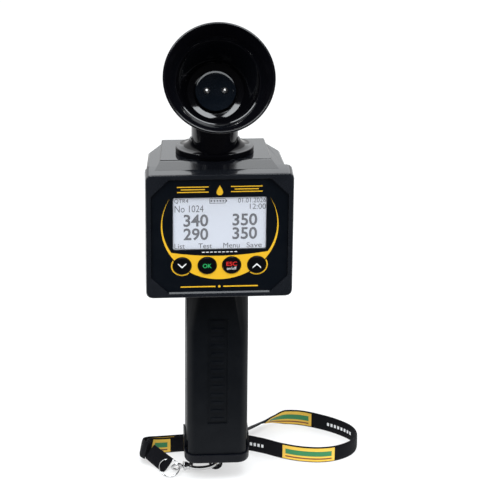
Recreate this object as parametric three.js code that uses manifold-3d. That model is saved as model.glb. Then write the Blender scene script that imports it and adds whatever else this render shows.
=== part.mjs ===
// Handheld mastitis detector: a display head on a grip, with a tilted milk cup on top
// and a wrist strap clipped to the end cap.
// Millimetres, +Z up, display facing -Y, origin in the middle of the grip.
import * as THREE from 'three';
import { mergeVertices } from 'three/addons/utils/BufferGeometryUtils.js';
import Module from 'manifold-3d';

// Driving dimensions of the head
const headWidth = 80;
const headHeight = 73.5;
const faceReach = 27;
const bezelDepth = 12.6;
const backReach = 18.6;
const frontWall = 2.6;
const bezelSideWall = 5.4;
const sideWall = 2.4;
const headCornerRadius = 3.4;
const faceBevel = 1.2;
const gasketThickness = 0.8;
const gasketWidth = 1.5;
const shellShift = -1.4;
const shellTopDrop = 0.5;
const shellFrontWidth = 75;
const shellCornerWidth = 71.6;
const shellCornerReach = 6.5;
const shellBackWidth = 57.2;
const shellBevel = 0.9;
const plateauHeight = 2.8;
const plateauFrontWidth = 61;
const plateauBackWidth = 56.4;
const plateauBackReach = 17.4;
const plateauSlope = 1.6;
const plateauBevel = 0.6;

// Label, display and keys. The window keeps its margins as the face grows, and the keys sit below it.
const labelInset = 2.8;
const labelCornerCut = 9.6;
const labelRecess = 1.6;
const filmThickness = 0.5;
const windowSide = 14.6;
const windowTop = 13.8;
const windowFoot = 28.6;
const windowRadius = 0.8;
const windowSetback = 0.2;
const moduleSideMargin = 3.1;
const moduleEndMargin = 2.45;
const moduleDepth = 4.2;
const boardSide = 8;
const boardBase = 11.2;
const boardTopDrop = 11.3;
const boardThickness = 1.6;
const keyHeight = 19.3;
const innerKeyReach = 6.65;
const outerKeyReach = 20.35;
const keyDiameter = 10;
const keyProud = 0.7;
const keyBevel = 0.5;
const keyFlange = 0.9;
const keyFlangeThickness = 0.9;
const keyStemDiameter = 3.4;
const keyTravel = 0.4;
const keyStopGap = 0.05;
const switchSize = 6;
const switchHeight = 1.5;
const plungerDiameter = 3;
const plungerHeight = 0.6;

// Screws that close the head from behind
const screwSide = 15.5;
const screwLow = 6.6;
const screwTopDrop = 7.1;
const screwDiameter = 2.4;
const screwHeadDiameter = 5.4;
const screwHeadHeight = 2;
const screwSink = 0.6;
const screwTipCover = 2;
const postDiameter = 7.6;

// Grip, battery and end cap
const gripWidth = 34.4;
const gripDepth = 30;
const gripLength = 105.3;
const gripWall = 2.4;
const gripTopWall = 3;
const gripCorner = 4.6;
const gripTopCorner = 9;
const gripTaperLength = 27;
const gripCornerFlatShare = 0.25;
const bevelShare = 0.3;
const panelWidth = 11.4;
const panelLength = 66.7;
const panelTopDrop = 19;
const panelRecess = 0.7;
const panelRadius = 0.8;
const panelRibCount = 13;
const panelRibWidth = 7.4;
const panelRibHeight = 2;
const panelRibProud = 0.5;
const wireHoleDiameter = 8;
const wireHoleReach = 4;
const capWidth = 36.9;
const capDepth = 32.4;
const capHeight = 5.6;
const capCorner = 7.2;
const capBevel = 1.5;
const capGap = 0.3;
const capTravel = 12;
const wingLength = 12;
const wingHeight = 8.6;
const hookDepth = 0.8;
const hookHeight = 1.3;
const hookDrop = 1.2;
const sealWidth = 1.4;
const sealDepth = 1.1;
const sealInset = 1.6;
const batteryWidth = 26.5;
const batteryDepth = 17.5;
const batteryHeight = 46.4;
const batteryRadius = 2.2;
const terminalHeight = 2.1;
const terminalPitch = 12.7;
const smallTerminalDiameter = 5.8;
const largeTerminalDiameter = 7.2;
const snapWidth = 25.4;
const snapDepth = 12.6;
const snapHeight = 4.6;
const holderWidth = 2;
const leadDiameter = 1.5;
const leadPitch = 2.4;

// Lug under the end cap
const lugWidth = 7.8;
const lugThickness = 2.6;
const lugLength = 12.3;
const lugHoleDiameter = 5.4;
const lugHoleDrop = 7.9;

// Milk cup, its neck and electrodes
const cupRimRadius = 29.5;
const cupDepth = 41;
const cupWall = 2.2;
const cupFloor = 4;
const cupRimRound = 0.9;
const cupShoulderRadius = 22.6;
const cupShoulderDepth = 13.5;
const cupShoulderStep = 0.5;
const cupFootRadius = 15.6;
const cupFootDepth = 36;
const cupTilt = 32;
const elbowDepth = 46.6;
const neckDiameter = 25.4;
const neckBore = 15.6;
const neckTailDiameter = 19.6;
const neckRise = 33.6;
const neckTail = 8.4;
const flangeWidth = 42.6;
const flangeDepth = 28;
const flangeEdge = 2.6;
const flangeHeight = 7.6;
const flangeLip = 0.9;
const ringSealWidth = 1.2;
const ringSealHeight = 1.2;
const nutDiameter = 23.2;
const nutHeight = 5;
const nutNotchCount = 6;
const nutNotchWidth = 4;
const nutNotchDepth = 0.8;
const plugRadius = 11;
const plugHeight = 2.4;
const plugStemRadius = 7.4;
const plugStemLength = 5;
const plugBevel = 0.5;
const electrodePitch = 9.7;
const electrodeDiameter = 3.6;
const electrodeShankDiameter = 2.2;
const electrodeLength = 9.6;
const sensorLeadDiameter = 1.2;
const sensorLeadPitch = 3.4;

// Clasp, swivel and split ring
const claspYaw = 10;
const claspDip = 1;
const clawLength = 18;
const clawWidth = 12;
const clawBar = 2;
const clawThickness = 2.8;
const clawTipReach = 5.2;
const gateGap = 0.3;
const hingeReach = 13.2;
const hingeSide = 4.5;
const hingeRadius = 1.9;
const hingePinDiameter = 1.2;
const gateTangThickness = 0.9;
const gateBar = 1.6;
const thumbLength = 3.4;
const barrelDiameter = 5.4;
const barrelLength = 4.4;
const swivelShankDiameter = 2.4;
const swivelHeadDiameter = 3.8;
const swivelHeadLength = 0.9;
const eyeRadius = 2.7;
const eyeWire = 1.5;
const eyeRoll = 28;
const splitRingRadius = 5.7;
const splitRingWire = 0.7;
const splitRingHeight = 1.2;

// Strap
const strapWidth = 10;
const strapThickness = 1.1;
const tailThickness = 2.6;
const strapEdgeShare = 0.3;

// Clearances and shared values
const fit = 0.3;
const closeFit = 0.2;
const overrun = 1;
const tubeSides = 8;
const cupSides = 32;
const ballSides = 20;
const leadSteps = 16;
const roundSides = 24;
const smallSides = 14;
const eyeSides = 24;
const domeSteps = 5;
const tailSteps = 6;
const loopSteps = 54;
const degree = Math.PI / 180;

// Places that follow from the sizes above
const gripTop = capHeight + capGap + gripLength;
const originHeight = (capHeight + gripTop) / 2;
const faceY = -faceReach;
const wallY = faceY + frontWall;
const filmBackY = faceY + labelRecess;
const filmFrontY = filmBackY - filmThickness;
const bezelBackY = faceY + bezelDepth;
const shellFrontY = bezelBackY + gasketThickness;
const shellTop = headHeight - shellTopDrop;
const plateauTop = shellTop + plateauHeight;
const plateauUnderside = plateauTop - sideWall;
const boardFrontY = wallY + moduleDepth;
const boardBackY = boardFrontY + boardThickness;
const hookTop = capHeight + wingHeight - hookDrop;
const screwTip = wallY - frontWall / 2 + screwTipCover;
const screwHeadBack = backReach - screwSink;
const screwHeadFront = screwHeadBack - screwHeadHeight;
const batteryBase = capHeight + 2 * capGap;
const batteryTop = batteryBase + batteryHeight;
const neckRadius = neckDiameter / 2;
const neckTailRadius = neckTailDiameter / 2;
const ringSealRadius = (neckRadius + neckTailRadius) / 2;
const windowWidth = headWidth - 2 * windowSide;
const windowHeight = headHeight - windowTop - windowFoot;
const windowCentre = windowFoot + windowHeight / 2;
const boardWidth = headWidth - 2 * boardSide;
const boardHeight = headHeight - boardBase - boardTopDrop;
const screwReach = headWidth / 2 - screwSide;
const screwHigh = headHeight - screwTopDrop;
const keyPlaces = [
  ['key_down', -outerKeyReach],
  ['key_ok', -innerKeyReach],
  ['key_esc', innerKeyReach],
  ['key_up', outerKeyReach],
];

const wasm = await Module();
wasm.setup();

// Solids and surfaces

function solid(geometry) {
  const bare = new THREE.BufferGeometry();
  bare.setAttribute('position', geometry.getAttribute('position'));
  bare.setIndex(geometry.getIndex());
  const merged = mergeVertices(bare);
  const vertProperties = new Float32Array(merged.getAttribute('position').array);
  const triVerts = new Uint32Array(merged.getIndex().array);
  return new wasm.Manifold(new wasm.Mesh({ numProp: 3, vertProperties, triVerts }));
}

function surface(manifold) {
  const { vertProperties, triVerts } = manifold.getMesh();
  const geometry = new THREE.BufferGeometry();
  geometry.setAttribute('position', new THREE.BufferAttribute(new Float32Array(vertProperties), 3));
  geometry.setIndex(new THREE.BufferAttribute(new Uint32Array(triVerts), 1));
  geometry.computeVertexNormals();
  return geometry;
}

function joined(base, ...others) {
  return others.reduce((sum, other) => sum.add(solid(other)), solid(base));
}

function cut(base, ...tools) {
  return tools.reduce((left, tool) => left.subtract(solid(tool)), base);
}

function moved(geometry, x, y, z) {
  return geometry.translate(x, y, z);
}

function mesh(name, geometry, material) {
  const piece = new THREE.Mesh(geometry, material);
  piece.name = name;
  return piece;
}

function finish(color, roughness, metalness) {
  return new THREE.MeshStandardMaterial({ color, roughness, metalness });
}

// A rectangle with round corners, or flatter ones as flatShare grows, as an anticlockwise ring
function cornerRing(width, depth, corner, flatShare, steps) {
  const ring = [];
  for (let side = 0; side < 4; side++) {
    const signX = side === 0 || side === 3 ? 1 : -1;
    const signY = side < 2 ? 1 : -1;
    const centre = new THREE.Vector2(signX * (width / 2 - corner), signY * (depth / 2 - corner));
    const start = side * Math.PI / 2;
    const round = (angle) => new THREE.Vector2(Math.cos(angle), Math.sin(angle)).multiplyScalar(corner);
    const from = round(start);
    const to = round(start + Math.PI / 2);
    for (let step = 0; step <= steps; step++) {
      const share = step / steps;
      const arc = round(start + share * Math.PI / 2);
      const flat = from.clone().lerp(to, share);
      ring.push(arc.lerp(flat, flatShare).add(centre));
    }
  }
  return ring;
}

// A closed skin over rings of equal length, with a flat face at each end
function loft(rings) {
  const count = rings[0].length;
  const positions = rings.flat().flatMap((point) => point.toArray());
  const index = [];
  for (let ring = 0; ring < rings.length - 1; ring++) {
    for (let k = 0; k < count; k++) {
      const a = ring * count + k;
      const b = ring * count + (k + 1) % count;
      index.push(a, b, b + count, a, b + count, a + count);
    }
  }
  const last = (rings.length - 1) * count;
  for (let k = 1; k < count - 1; k++) {
    index.push(0, k + 1, k, last, last + k, last + k + 1);
  }
  const geometry = new THREE.BufferGeometry();
  geometry.setAttribute('position', new THREE.Float32BufferAttribute(positions, 3));
  geometry.setIndex(index);
  geometry.computeVertexNormals();
  return geometry;
}

function standing(ring, z) {
  return ring.map((point) => new THREE.Vector3(point.x, point.y, z));
}

function facing(ring, y, centreZ) {
  return ring.map((point) => new THREE.Vector3(point.x, y, centreZ + point.y));
}

// A ring drawn on the face plane and swept back from one depth to another
function block(ring, frontY, backY, centreZ) {
  return loft([facing(ring, backY, centreZ), facing(ring, frontY, centreZ)]);
}

function slab(width, height, corner, frontY, backY, centreZ) {
  return block(cornerRing(width, height, corner, 0, 4), frontY, backY, centreZ);
}

function box(width, depth, height, x, y, z) {
  return moved(new THREE.BoxGeometry(width, depth, height), x, y, z);
}

function rodAlongY(radius, frontY, backY, x, z, sides = smallSides) {
  const rod = new THREE.CylinderGeometry(radius, radius, backY - frontY, sides);
  return moved(rod, x, (frontY + backY) / 2, z);
}

function rodAlongZ(radius, lowZ, highZ, x, y, sides = smallSides) {
  const rod = new THREE.CylinderGeometry(radius, radius, highZ - lowZ, sides).rotateX(Math.PI / 2);
  return moved(rod, x, y, (lowZ + highZ) / 2);
}

function rodAlongX(radius, lowX, highX, sides = smallSides) {
  const rod = new THREE.CylinderGeometry(radius, radius, highX - lowX, sides).rotateZ(Math.PI / 2);
  return moved(rod, (lowX + highX) / 2, 0, 0);
}

// A profile of [radius, height] pairs turned about the Z axis
function turned(profile, sides = roundSides) {
  const points = profile.map(([radius, height]) => new THREE.Vector2(radius, height));
  const open = points[0].x > 0;
  if (open) points.push(points[0].clone());
  return new THREE.LatheGeometry(points, sides).rotateX(Math.PI / 2);
}

function tube(points, diameter, steps) {
  const section = new THREE.Shape().absarc(0, 0, diameter / 2, 0, 2 * Math.PI);
  const path = new THREE.CatmullRomCurve3(points.map((point) => new THREE.Vector3(...point)));
  const options = { extrudePath: path, steps, curveSegments: tubeSides / 2, bevelEnabled: false };
  return new THREE.ExtrudeGeometry(section, options);
}

// Finishes
const glossBlack = finish(0x14161c, 0.16, 0);
const faceBlack = finish(0x17191e, 0.4, 0);
const gripBlack = finish(0x2b3138, 0.55, 0);
const capBlack = finish(0x23262c, 0.5, 0);
const filmBlack = finish(0x101216, 0.45, 0);
const keyBlack = finish(0x0c0d10, 0.35, 0);
const glass = finish(0xc9cbd6, 0.12, 0);
const displayGrey = finish(0xb8bac6, 0.4, 0);
const boardGreen = finish(0x1f5a34, 0.5, 0);
const rubber = finish(0x1a1a1c, 0.85, 0);
const steel = finish(0xc8cacd, 0.2, 1);
const chrome = finish(0xe2e4e6, 0.08, 1);
const webbing = finish(0x1b1c22, 0.85, 0);
const batteryShell = finish(0x35507a, 0.45, 0.2);
const redWire = finish(0xb01f1c, 0.5, 0);
const blackWire = finish(0x16161a, 0.5, 0);

// Head

function labelRing(inset) {
  const width = headWidth - 2 * (labelInset + inset);
  const height = headHeight - 2 * (labelInset + inset);
  return cornerRing(width, height, labelCornerCut - inset, 1, 1);
}

function screwPlaces() {
  const places = [];
  for (const z of [screwLow, screwHigh]) {
    for (const side of [-1, 1]) places.push([shellShift + side * screwReach, z]);
  }
  return places;
}

function screwRods(radius, frontY, backY) {
  return screwPlaces().map(([x, z]) => rodAlongY(radius, frontY, backY, x, z));
}

function keyRods(frontY, backY) {
  const radius = keyDiameter / 2 + fit;
  return keyPlaces.map(([, x]) => rodAlongY(radius, frontY, backY, x, keyHeight, roundSides));
}

function windowBlock(inset, frontY, backY) {
  const width = windowWidth - 2 * inset;
  const height = windowHeight - 2 * inset;
  return slab(width, height, windowRadius, frontY, backY, windowCentre);
}

function frontBezel() {
  const outline = (inset) =>
    cornerRing(headWidth - 2 * inset, headHeight - 2 * inset, headCornerRadius, 0, 3);
  const middle = headHeight / 2;
  const body = loft([
    facing(outline(0), bezelBackY, middle),
    facing(outline(0), faceY + faceBevel, middle),
    facing(outline(faceBevel * bevelShare), faceY + faceBevel * bevelShare, middle),
    facing(outline(faceBevel), faceY, middle),
  ]);
  const innerWidth = headWidth - 2 * bezelSideWall;
  const innerHeight = headHeight - 2 * sideWall;
  const innerRadius = headCornerRadius - sideWall / 2;
  const cavity = slab(innerWidth, innerHeight, innerRadius, wallY, bezelBackY + overrun, middle);
  const bosses = screwRods(postDiameter / 2, wallY - frontWall / 2, bezelBackY);
  const pilots = screwRods(screwDiameter / 2 + fit, screwTip - fit, bezelBackY + overrun);
  const windowHole = windowBlock(0, faceY - overrun, wallY + overrun);
  const keyHoles = keyRods(faceY - overrun, wallY + overrun);
  const recess = block(labelRing(0), faceY - overrun, filmBackY, middle);
  const hollow = bosses.reduce((sum, boss) => sum.add(solid(boss)), cut(solid(body), cavity));
  return surface(cut(hollow, windowHole, recess, ...keyHoles, ...pilots));
}

function labelFilm() {
  const film = solid(block(labelRing(fit), filmFrontY, filmBackY, headHeight / 2));
  const frontY = filmFrontY - overrun;
  const backY = filmBackY + overrun;
  return surface(cut(film, windowBlock(0, frontY, backY), ...keyRods(frontY, backY)));
}

function displayWindow() {
  return windowBlock(fit, filmFrontY + windowSetback, wallY);
}

function displayModule() {
  const width = windowWidth + 2 * moduleSideMargin;
  const height = windowHeight + 2 * moduleEndMargin;
  return slab(width, height, windowRadius, wallY, boardFrontY, windowCentre);
}

function mainBoard() {
  const middleY = (boardFrontY + boardBackY) / 2;
  return box(boardWidth, boardThickness, boardHeight, 0, middleY, boardBase + boardHeight / 2);
}

function keyCap() {
  const frontY = filmFrontY - keyProud;
  const flangeFront = wallY + fit;
  const stemEnd = boardFrontY - switchHeight - plungerHeight - keyTravel - keyStopGap;
  const radius = keyDiameter / 2;
  const profile = [
    [0, -stemEnd],
    [keyStemDiameter / 2, -stemEnd],
    [keyStemDiameter / 2, -flangeFront - keyFlangeThickness],
    [radius + keyFlange, -flangeFront - keyFlangeThickness],
    [radius + keyFlange, -flangeFront],
    [radius, -flangeFront],
    [radius, -frontY - keyBevel],
    [radius - keyBevel, -frontY],
    [0, -frontY],
  ];
  return turned(profile, smallSides).rotateX(Math.PI / 2);
}

function tactSwitch() {
  const bodyFront = boardFrontY - switchHeight;
  const middleY = boardFrontY - switchHeight / 2;
  const body = box(switchSize, switchHeight, switchSize, 0, middleY, 0);
  const plunger = rodAlongY(plungerDiameter / 2, bodyFront - plungerHeight, middleY, 0, 0);
  return surface(joined(body, plunger));
}

function headGasket() {
  const frame = (inset, extra) => {
    const width = shellFrontWidth - 2 * inset;
    const height = shellTop - 2 * inset;
    const corner = headCornerRadius + shellBevel - inset;
    const plate = slab(width, height, corner, bezelBackY - extra, shellFrontY + extra, shellTop / 2);
    return moved(plate, shellShift, 0, 0);
  };
  return surface(cut(solid(frame(shellBevel, 0)), frame(shellBevel + gasketWidth, overrun)));
}

// Plan of the rear shell, drawn in by an inset, from the front edge round the chamfered back
function shellPlan(inset, frontY) {
  const side = [
    [shellFrontWidth / 2 - inset, frontY],
    [shellCornerWidth / 2 - inset, shellCornerReach - inset / 2],
    [shellBackWidth / 2 - inset / 2, backReach - inset],
  ];
  const mirrored = side.map(([x, y]) => [-x, y]).reverse();
  return [...side, ...mirrored].map(([x, y]) => new THREE.Vector2(shellShift + x, y));
}

function plateauPlan(inset, frontY) {
  const front = plateauFrontWidth / 2 - inset;
  const back = plateauBackWidth / 2 - inset;
  const backY = plateauBackReach - inset;
  const plan = [[front, frontY], [back, backY], [-back, backY], [-front, frontY]];
  return plan.map(([x, y]) => new THREE.Vector2(shellShift + x, y));
}

// The plateau's front slopes back from the gasket, and its other sides stand upright
function rearShell() {
  const body = loft([
    standing(shellPlan(shellBevel, shellFrontY), 0),
    standing(shellPlan(0, shellFrontY), shellBevel),
    standing(shellPlan(0, shellFrontY), shellTop - shellBevel),
    standing(shellPlan(shellBevel, shellFrontY), shellTop),
  ]);
  const slopeBack = shellFrontY + plateauSlope;
  const plateau = loft([
    standing(plateauPlan(0, shellFrontY), shellTop - sideWall / 2),
    standing(plateauPlan(0, shellFrontY), shellTop),
    standing(plateauPlan(0, slopeBack), plateauTop - plateauBevel),
    standing(plateauPlan(plateauBevel, slopeBack + plateauBevel), plateauTop),
  ]);
  const openFront = shellFrontY - overrun;
  const cavity = loft([
    standing(shellPlan(sideWall, openFront), sideWall),
    standing(shellPlan(sideWall, openFront), shellTop - sideWall),
  ]);
  const plateauCavity = loft([
    standing(plateauPlan(sideWall, slopeBack), shellTop - sideWall - overrun),
    standing(plateauPlan(sideWall, slopeBack), plateauUnderside),
  ]);
  const posts = screwRods(postDiameter / 2, shellFrontY, backReach - sideWall / 2);
  const bores = screwRods(screwDiameter / 2 + fit, shellFrontY - overrun, backReach + overrun);
  const sinks = screwRods(screwHeadDiameter / 2 + fit, screwHeadFront - fit, backReach + overrun);
  const holeFoot = plateauUnderside - overrun;
  const holeTop = plateauTop + overrun;
  const neckHole = rodAlongZ(neckTailRadius + fit, holeFoot, holeTop, shellShift, 0, roundSides);
  const wireHole = rodAlongZ(wireHoleDiameter / 2, -overrun, sideWall + overrun, 0, -wireHoleReach);
  const hollow = cut(joined(body, plateau), cavity, plateauCavity);
  const withPosts = posts.reduce((sum, post) => sum.add(solid(post)), hollow);
  return surface(cut(withPosts, neckHole, wireHole, ...bores, ...sinks));
}

function housingScrew() {
  const profile = [
    [0, screwTip],
    [screwDiameter / 2, screwTip],
    [screwDiameter / 2, screwHeadFront],
    [screwHeadDiameter / 2, screwHeadFront],
    [screwHeadDiameter / 2, screwHeadBack],
    [0, screwHeadBack],
  ];
  return turned(profile, smallSides).rotateX(-Math.PI / 2);
}

function buildHead() {
  const head = new THREE.Group();
  head.position.z = gripTop;
  head.add(mesh('head_front_bezel', frontBezel(), faceBlack));
  head.add(mesh('label_film', labelFilm(), filmBlack));
  head.add(mesh('display_window', displayWindow(), glass));
  head.add(mesh('display_module', displayModule(), displayGrey));
  head.add(mesh('main_board', mainBoard(), boardGreen));
  head.add(mesh('head_gasket', headGasket(), rubber));
  head.add(mesh('head_rear_shell', rearShell(), glossBlack));
  for (const [name, x] of keyPlaces) {
    const key = mesh(name, keyCap(), keyBlack);
    key.position.set(x, 0, keyHeight);
    const tact = mesh(name.replace('key', 'switch'), tactSwitch(), steel);
    tact.position.set(x, 0, keyHeight);
    head.add(key, tact);
  }
  screwPlaces().forEach(([x, z], number) => {
    const screw = mesh(`housing_screw_${number + 1}`, housingScrew(), steel);
    screw.position.set(x, 0, z);
    head.add(screw);
  });
  return head;
}

// Grip, battery and end cap

function gripRing(inset, corner, flatShare) {
  return cornerRing(gripWidth - 2 * inset, gripDepth - 2 * inset, corner - inset / 2, flatShare, 4);
}

function gripFootRing(inset) {
  const width = gripWidth - 2 * inset;
  const depth = gripDepth - 2 * inset;
  return cornerRing(width, depth, gripCorner, gripCornerFlatShare, 4);
}

function gripShell() {
  const base = capHeight + capGap;
  const taperStart = gripTop - gripTaperLength;
  const straight = (inset) => gripRing(inset, gripCorner, gripCornerFlatShare);
  const chamfered = (inset) => gripRing(inset, gripTopCorner, 1);
  const body = loft([
    standing(straight(0), base),
    standing(straight(0), taperStart),
    standing(chamfered(0), gripTop),
  ]);
  const roof = gripTop - gripTopWall;
  const cavity = loft([
    standing(straight(gripWall), base - overrun),
    standing(straight(gripWall), taperStart - gripTopWall),
    standing(chamfered(gripWall), roof),
  ]);
  const frontY = -gripDepth / 2;
  const panelFloor = frontY + panelRecess;
  const panelTop = gripTop - panelTopDrop;
  const panelMiddle = panelTop - panelLength / 2;
  const panel = slab(panelWidth, panelLength, panelRadius, frontY - overrun, panelFloor, panelMiddle);
  const pitch = panelLength / panelRibCount;
  const ribFront = panelFloor - panelRibProud;
  const ribDepth = frontY + gripWall / 2 - ribFront;
  const ribY = ribFront + ribDepth / 2;
  const ribs = Array.from({ length: panelRibCount }, (_, k) =>
    box(panelRibWidth, ribDepth, panelRibHeight, 0, ribY, panelTop - (k + 1 / 2) * pitch));
  const holderFront = batteryDepth / 2 + fit;
  const holderDepth = gripDepth / 2 - gripWall / 2 - holderFront;
  const holderY = holderFront + holderDepth / 2;
  const holderZ = batteryTop - batteryHeight / 4;
  const holders = [-1, 1].flatMap((side) => [-1, 1].map((end) =>
    box(holderWidth, holderDepth, batteryHeight / 2, side * batteryWidth / 4, end * holderY, holderZ)));
  const wireHole = rodAlongZ(wireHoleDiameter / 2, roof - overrun, gripTop + overrun, 0, -wireHoleReach);
  const hollow = cut(solid(body), cavity, panel);
  const ribbed = [...ribs, ...holders].reduce((sum, rib) => sum.add(solid(rib)), hollow);
  return surface(cut(ribbed, wireHole, ...hookTracks()));
}

// Each side has a groove that the cap's hook runs in, and a way down out of its front end
function hookTracks() {
  const back = wingLength / 2 + fit;
  const front = -wingLength / 2 - capTravel - fit;
  const entryBack = -wingLength / 2 - fit;
  const high = hookTop + fit;
  const low = hookTop - hookHeight - fit;
  const track = (x, backY, lowZ) => {
    const middleY = (backY + front) / 2;
    return box(2 * hookDepth, backY - front, high - lowZ, x, middleY, (high + lowZ) / 2);
  };
  return [-gripWidth / 2, gripWidth / 2].flatMap((x) => [track(x, back, low), track(x, entryBack, 0)]);
}

function capWings() {
  const wingInner = gripWidth / 2 + fit;
  const wingThickness = capWidth / 2 - wingInner;
  const wingBase = capHeight - capBevel;
  const wingTop = capHeight + wingHeight;
  const wingX = wingInner + wingThickness / 2;
  const hookWidth = hookDepth + wingThickness / 2;
  const hookX = wingX - hookWidth / 2;
  return [-1, 1].flatMap((side) => [
    box(wingThickness, wingLength, wingTop - wingBase, side * wingX, 0, (wingTop + wingBase) / 2),
    box(hookWidth, wingLength, hookHeight, side * hookX, 0, hookTop - hookHeight / 2),
  ]);
}

function endCap() {
  const ring = (inset) => cornerRing(capWidth - 2 * inset, capDepth - 2 * inset, capCorner - inset, 0, 5);
  const plate = loft([
    standing(ring(capBevel), 0),
    standing(ring(capBevel * bevelShare), capBevel * bevelShare),
    standing(ring(0), capBevel),
    standing(ring(0), capHeight),
  ]);
  const hub = lugWidth / 2;
  const hubZ = hub - lugLength;
  const lugRoot = capHeight / 2;
  const lugEnd = moved(new THREE.CylinderGeometry(hub, hub, lugThickness, roundSides), 0, 0, hubZ);
  const lugBar = box(lugWidth, lugThickness, lugRoot - hubZ, 0, 0, (lugRoot + hubZ) / 2);
  const holeReach = lugThickness / 2 + overrun;
  const lugHole = rodAlongY(lugHoleDiameter / 2, -holeReach, holeReach, 0, -lugHoleDrop, roundSides);
  const grooveFloor = capHeight - sealDepth - closeFit;
  const groove = solid(loft([
    standing(gripFootRing(sealInset - fit), grooveFloor),
    standing(gripFootRing(sealInset - fit), capHeight + overrun),
  ]));
  const island = loft([
    standing(gripFootRing(sealInset + sealWidth + fit), grooveFloor - overrun),
    standing(gripFootRing(sealInset + sealWidth + fit), capHeight + 2 * overrun),
  ]);
  const whole = joined(plate, lugEnd, lugBar, ...capWings());
  return surface(cut(whole, lugHole).subtract(cut(groove, island)));
}

function capSeal() {
  const low = capHeight - sealDepth;
  const outer = loft([
    standing(gripFootRing(sealInset), low),
    standing(gripFootRing(sealInset), capHeight),
  ]);
  const inner = loft([
    standing(gripFootRing(sealInset + sealWidth), low - overrun),
    standing(gripFootRing(sealInset + sealWidth), capHeight + overrun),
  ]);
  return surface(cut(solid(outer), inner));
}

function battery() {
  const ring = cornerRing(batteryWidth, batteryDepth, batteryRadius, 0, 3);
  const body = loft([standing(ring, batteryBase), standing(ring, batteryTop)]);
  const low = batteryTop - terminalHeight;
  const high = batteryTop + terminalHeight;
  const small = rodAlongZ(smallTerminalDiameter / 2, low, high, -terminalPitch / 2, 0);
  const large = rodAlongZ(largeTerminalDiameter / 2, low, high, terminalPitch / 2, 0);
  return surface(joined(body, small, large));
}

function batterySnap() {
  const low = batteryTop + fit;
  const high = low + snapHeight;
  const ring = cornerRing(snapWidth, snapDepth, snapDepth / 3, 0, 4);
  const body = solid(loft([standing(ring, low), standing(ring, high)]));
  const depth = batteryTop + terminalHeight + fit;
  const sockets = [
    rodAlongZ(smallTerminalDiameter / 2 + fit, low - overrun, depth, -terminalPitch / 2, 0),
    rodAlongZ(largeTerminalDiameter / 2 + fit, low - overrun, depth, terminalPitch / 2, 0),
  ];
  return surface(cut(body, ...sockets));
}

// A battery lead runs up the grip, through the hole between grip and head, to the back of the board
function batteryLead(side) {
  const x = side * leadPitch / 2;
  const snapTop = batteryTop + fit + snapHeight + fit;
  const boardY = boardBackY + fit;
  const boardZ = gripTop + boardBase + side * leadPitch + 2 * leadPitch;
  const points = [
    [x, 0, snapTop],
    [x, 0, snapTop + gripTaperLength / 2],
    [x, -wireHoleReach, gripTop - gripTaperLength / 2],
    [x, -wireHoleReach, gripTop],
    [x, -wireHoleReach - leadPitch, gripTop + boardBase],
    [x, boardY + leadPitch, boardZ],
    [x, boardY, boardZ],
  ];
  return tube(points, leadDiameter, leadSteps);
}

function buildGrip() {
  const grip = new THREE.Group();
  grip.add(mesh('grip_shell', gripShell(), gripBlack));
  grip.add(mesh('end_cap', endCap(), capBlack));
  grip.add(mesh('cap_seal', capSeal(), rubber));
  grip.add(mesh('battery', battery(), batteryShell));
  grip.add(mesh('battery_snap', batterySnap(), blackWire));
  grip.add(mesh('battery_lead_red', batteryLead(1), redWire));
  grip.add(mesh('battery_lead_black', batteryLead(-1), blackWire));
  return grip;
}

// Milk cup

const elbowHeight = plateauTop + neckRise;

// Heights along the cup's own axis, measured from the elbow out to the rim
const rimHeight = elbowDepth;
const shoulderHeight = rimHeight - cupShoulderDepth;
const footHeight = rimHeight - cupFootDepth;
const floorHeight = rimHeight - cupDepth;
const plugFace = floorHeight + closeFit + plugHeight;

function cupInside() {
  const shoulder = new THREE.Vector2(cupShoulderRadius, shoulderHeight);
  const rim = new THREE.Vector2(cupRimRadius - cupWall / 2, rimHeight);
  const foot = new THREE.Vector2(cupFootRadius, footHeight);
  const floor = new THREE.Vector2(cupFootRadius - cupWall, floorHeight);
  const lip = new THREE.QuadraticBezierCurve(
    shoulder.clone(),
    new THREE.Vector2(cupShoulderRadius + cupWall, (shoulderHeight + rimHeight) / 2),
    rim,
  );
  const bowl = new THREE.QuadraticBezierCurve(
    foot,
    new THREE.Vector2(cupShoulderRadius - cupWall, (shoulderHeight + footHeight) / 2),
    shoulder.clone().sub(new THREE.Vector2(cupShoulderStep, 0)),
  );
  return [floor, ...bowl.getPoints(5), ...lip.getPoints(4)].map((point) => [point.x, point.y]);
}

function cupBody() {
  const inside = cupInside();
  const back = floorHeight - cupFloor;
  const outside = inside.slice(1).map(([radius, height]) => [radius + cupWall, height - cupWall / 2]);
  const profile = [
    [0, back],
    [neckRadius, back],
    ...outside.slice(0, -1),
    [cupRimRadius, rimHeight - cupRimRound],
    [cupRimRadius - cupRimRound / 3, rimHeight],
    [0, rimHeight],
  ];
  return turned(profile, cupSides);
}

function cupHollow() {
  const inside = cupInside();
  const [mouthRadius] = inside[inside.length - 1];
  const above = rimHeight + overrun;
  return turned([[0, floorHeight], ...inside, [mouthRadius, above], [0, above]], cupSides);
}

// The seal that lies in a groove under the neck, or the room for it
function sealRing(room, below) {
  const half = ringSealWidth / 2 + room;
  const high = ringSealHeight + room;
  return turned([
    [ringSealRadius - half, -below],
    [ringSealRadius + half, -below],
    [ringSealRadius + half, high],
    [ringSealRadius - half, high],
  ]);
}

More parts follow.
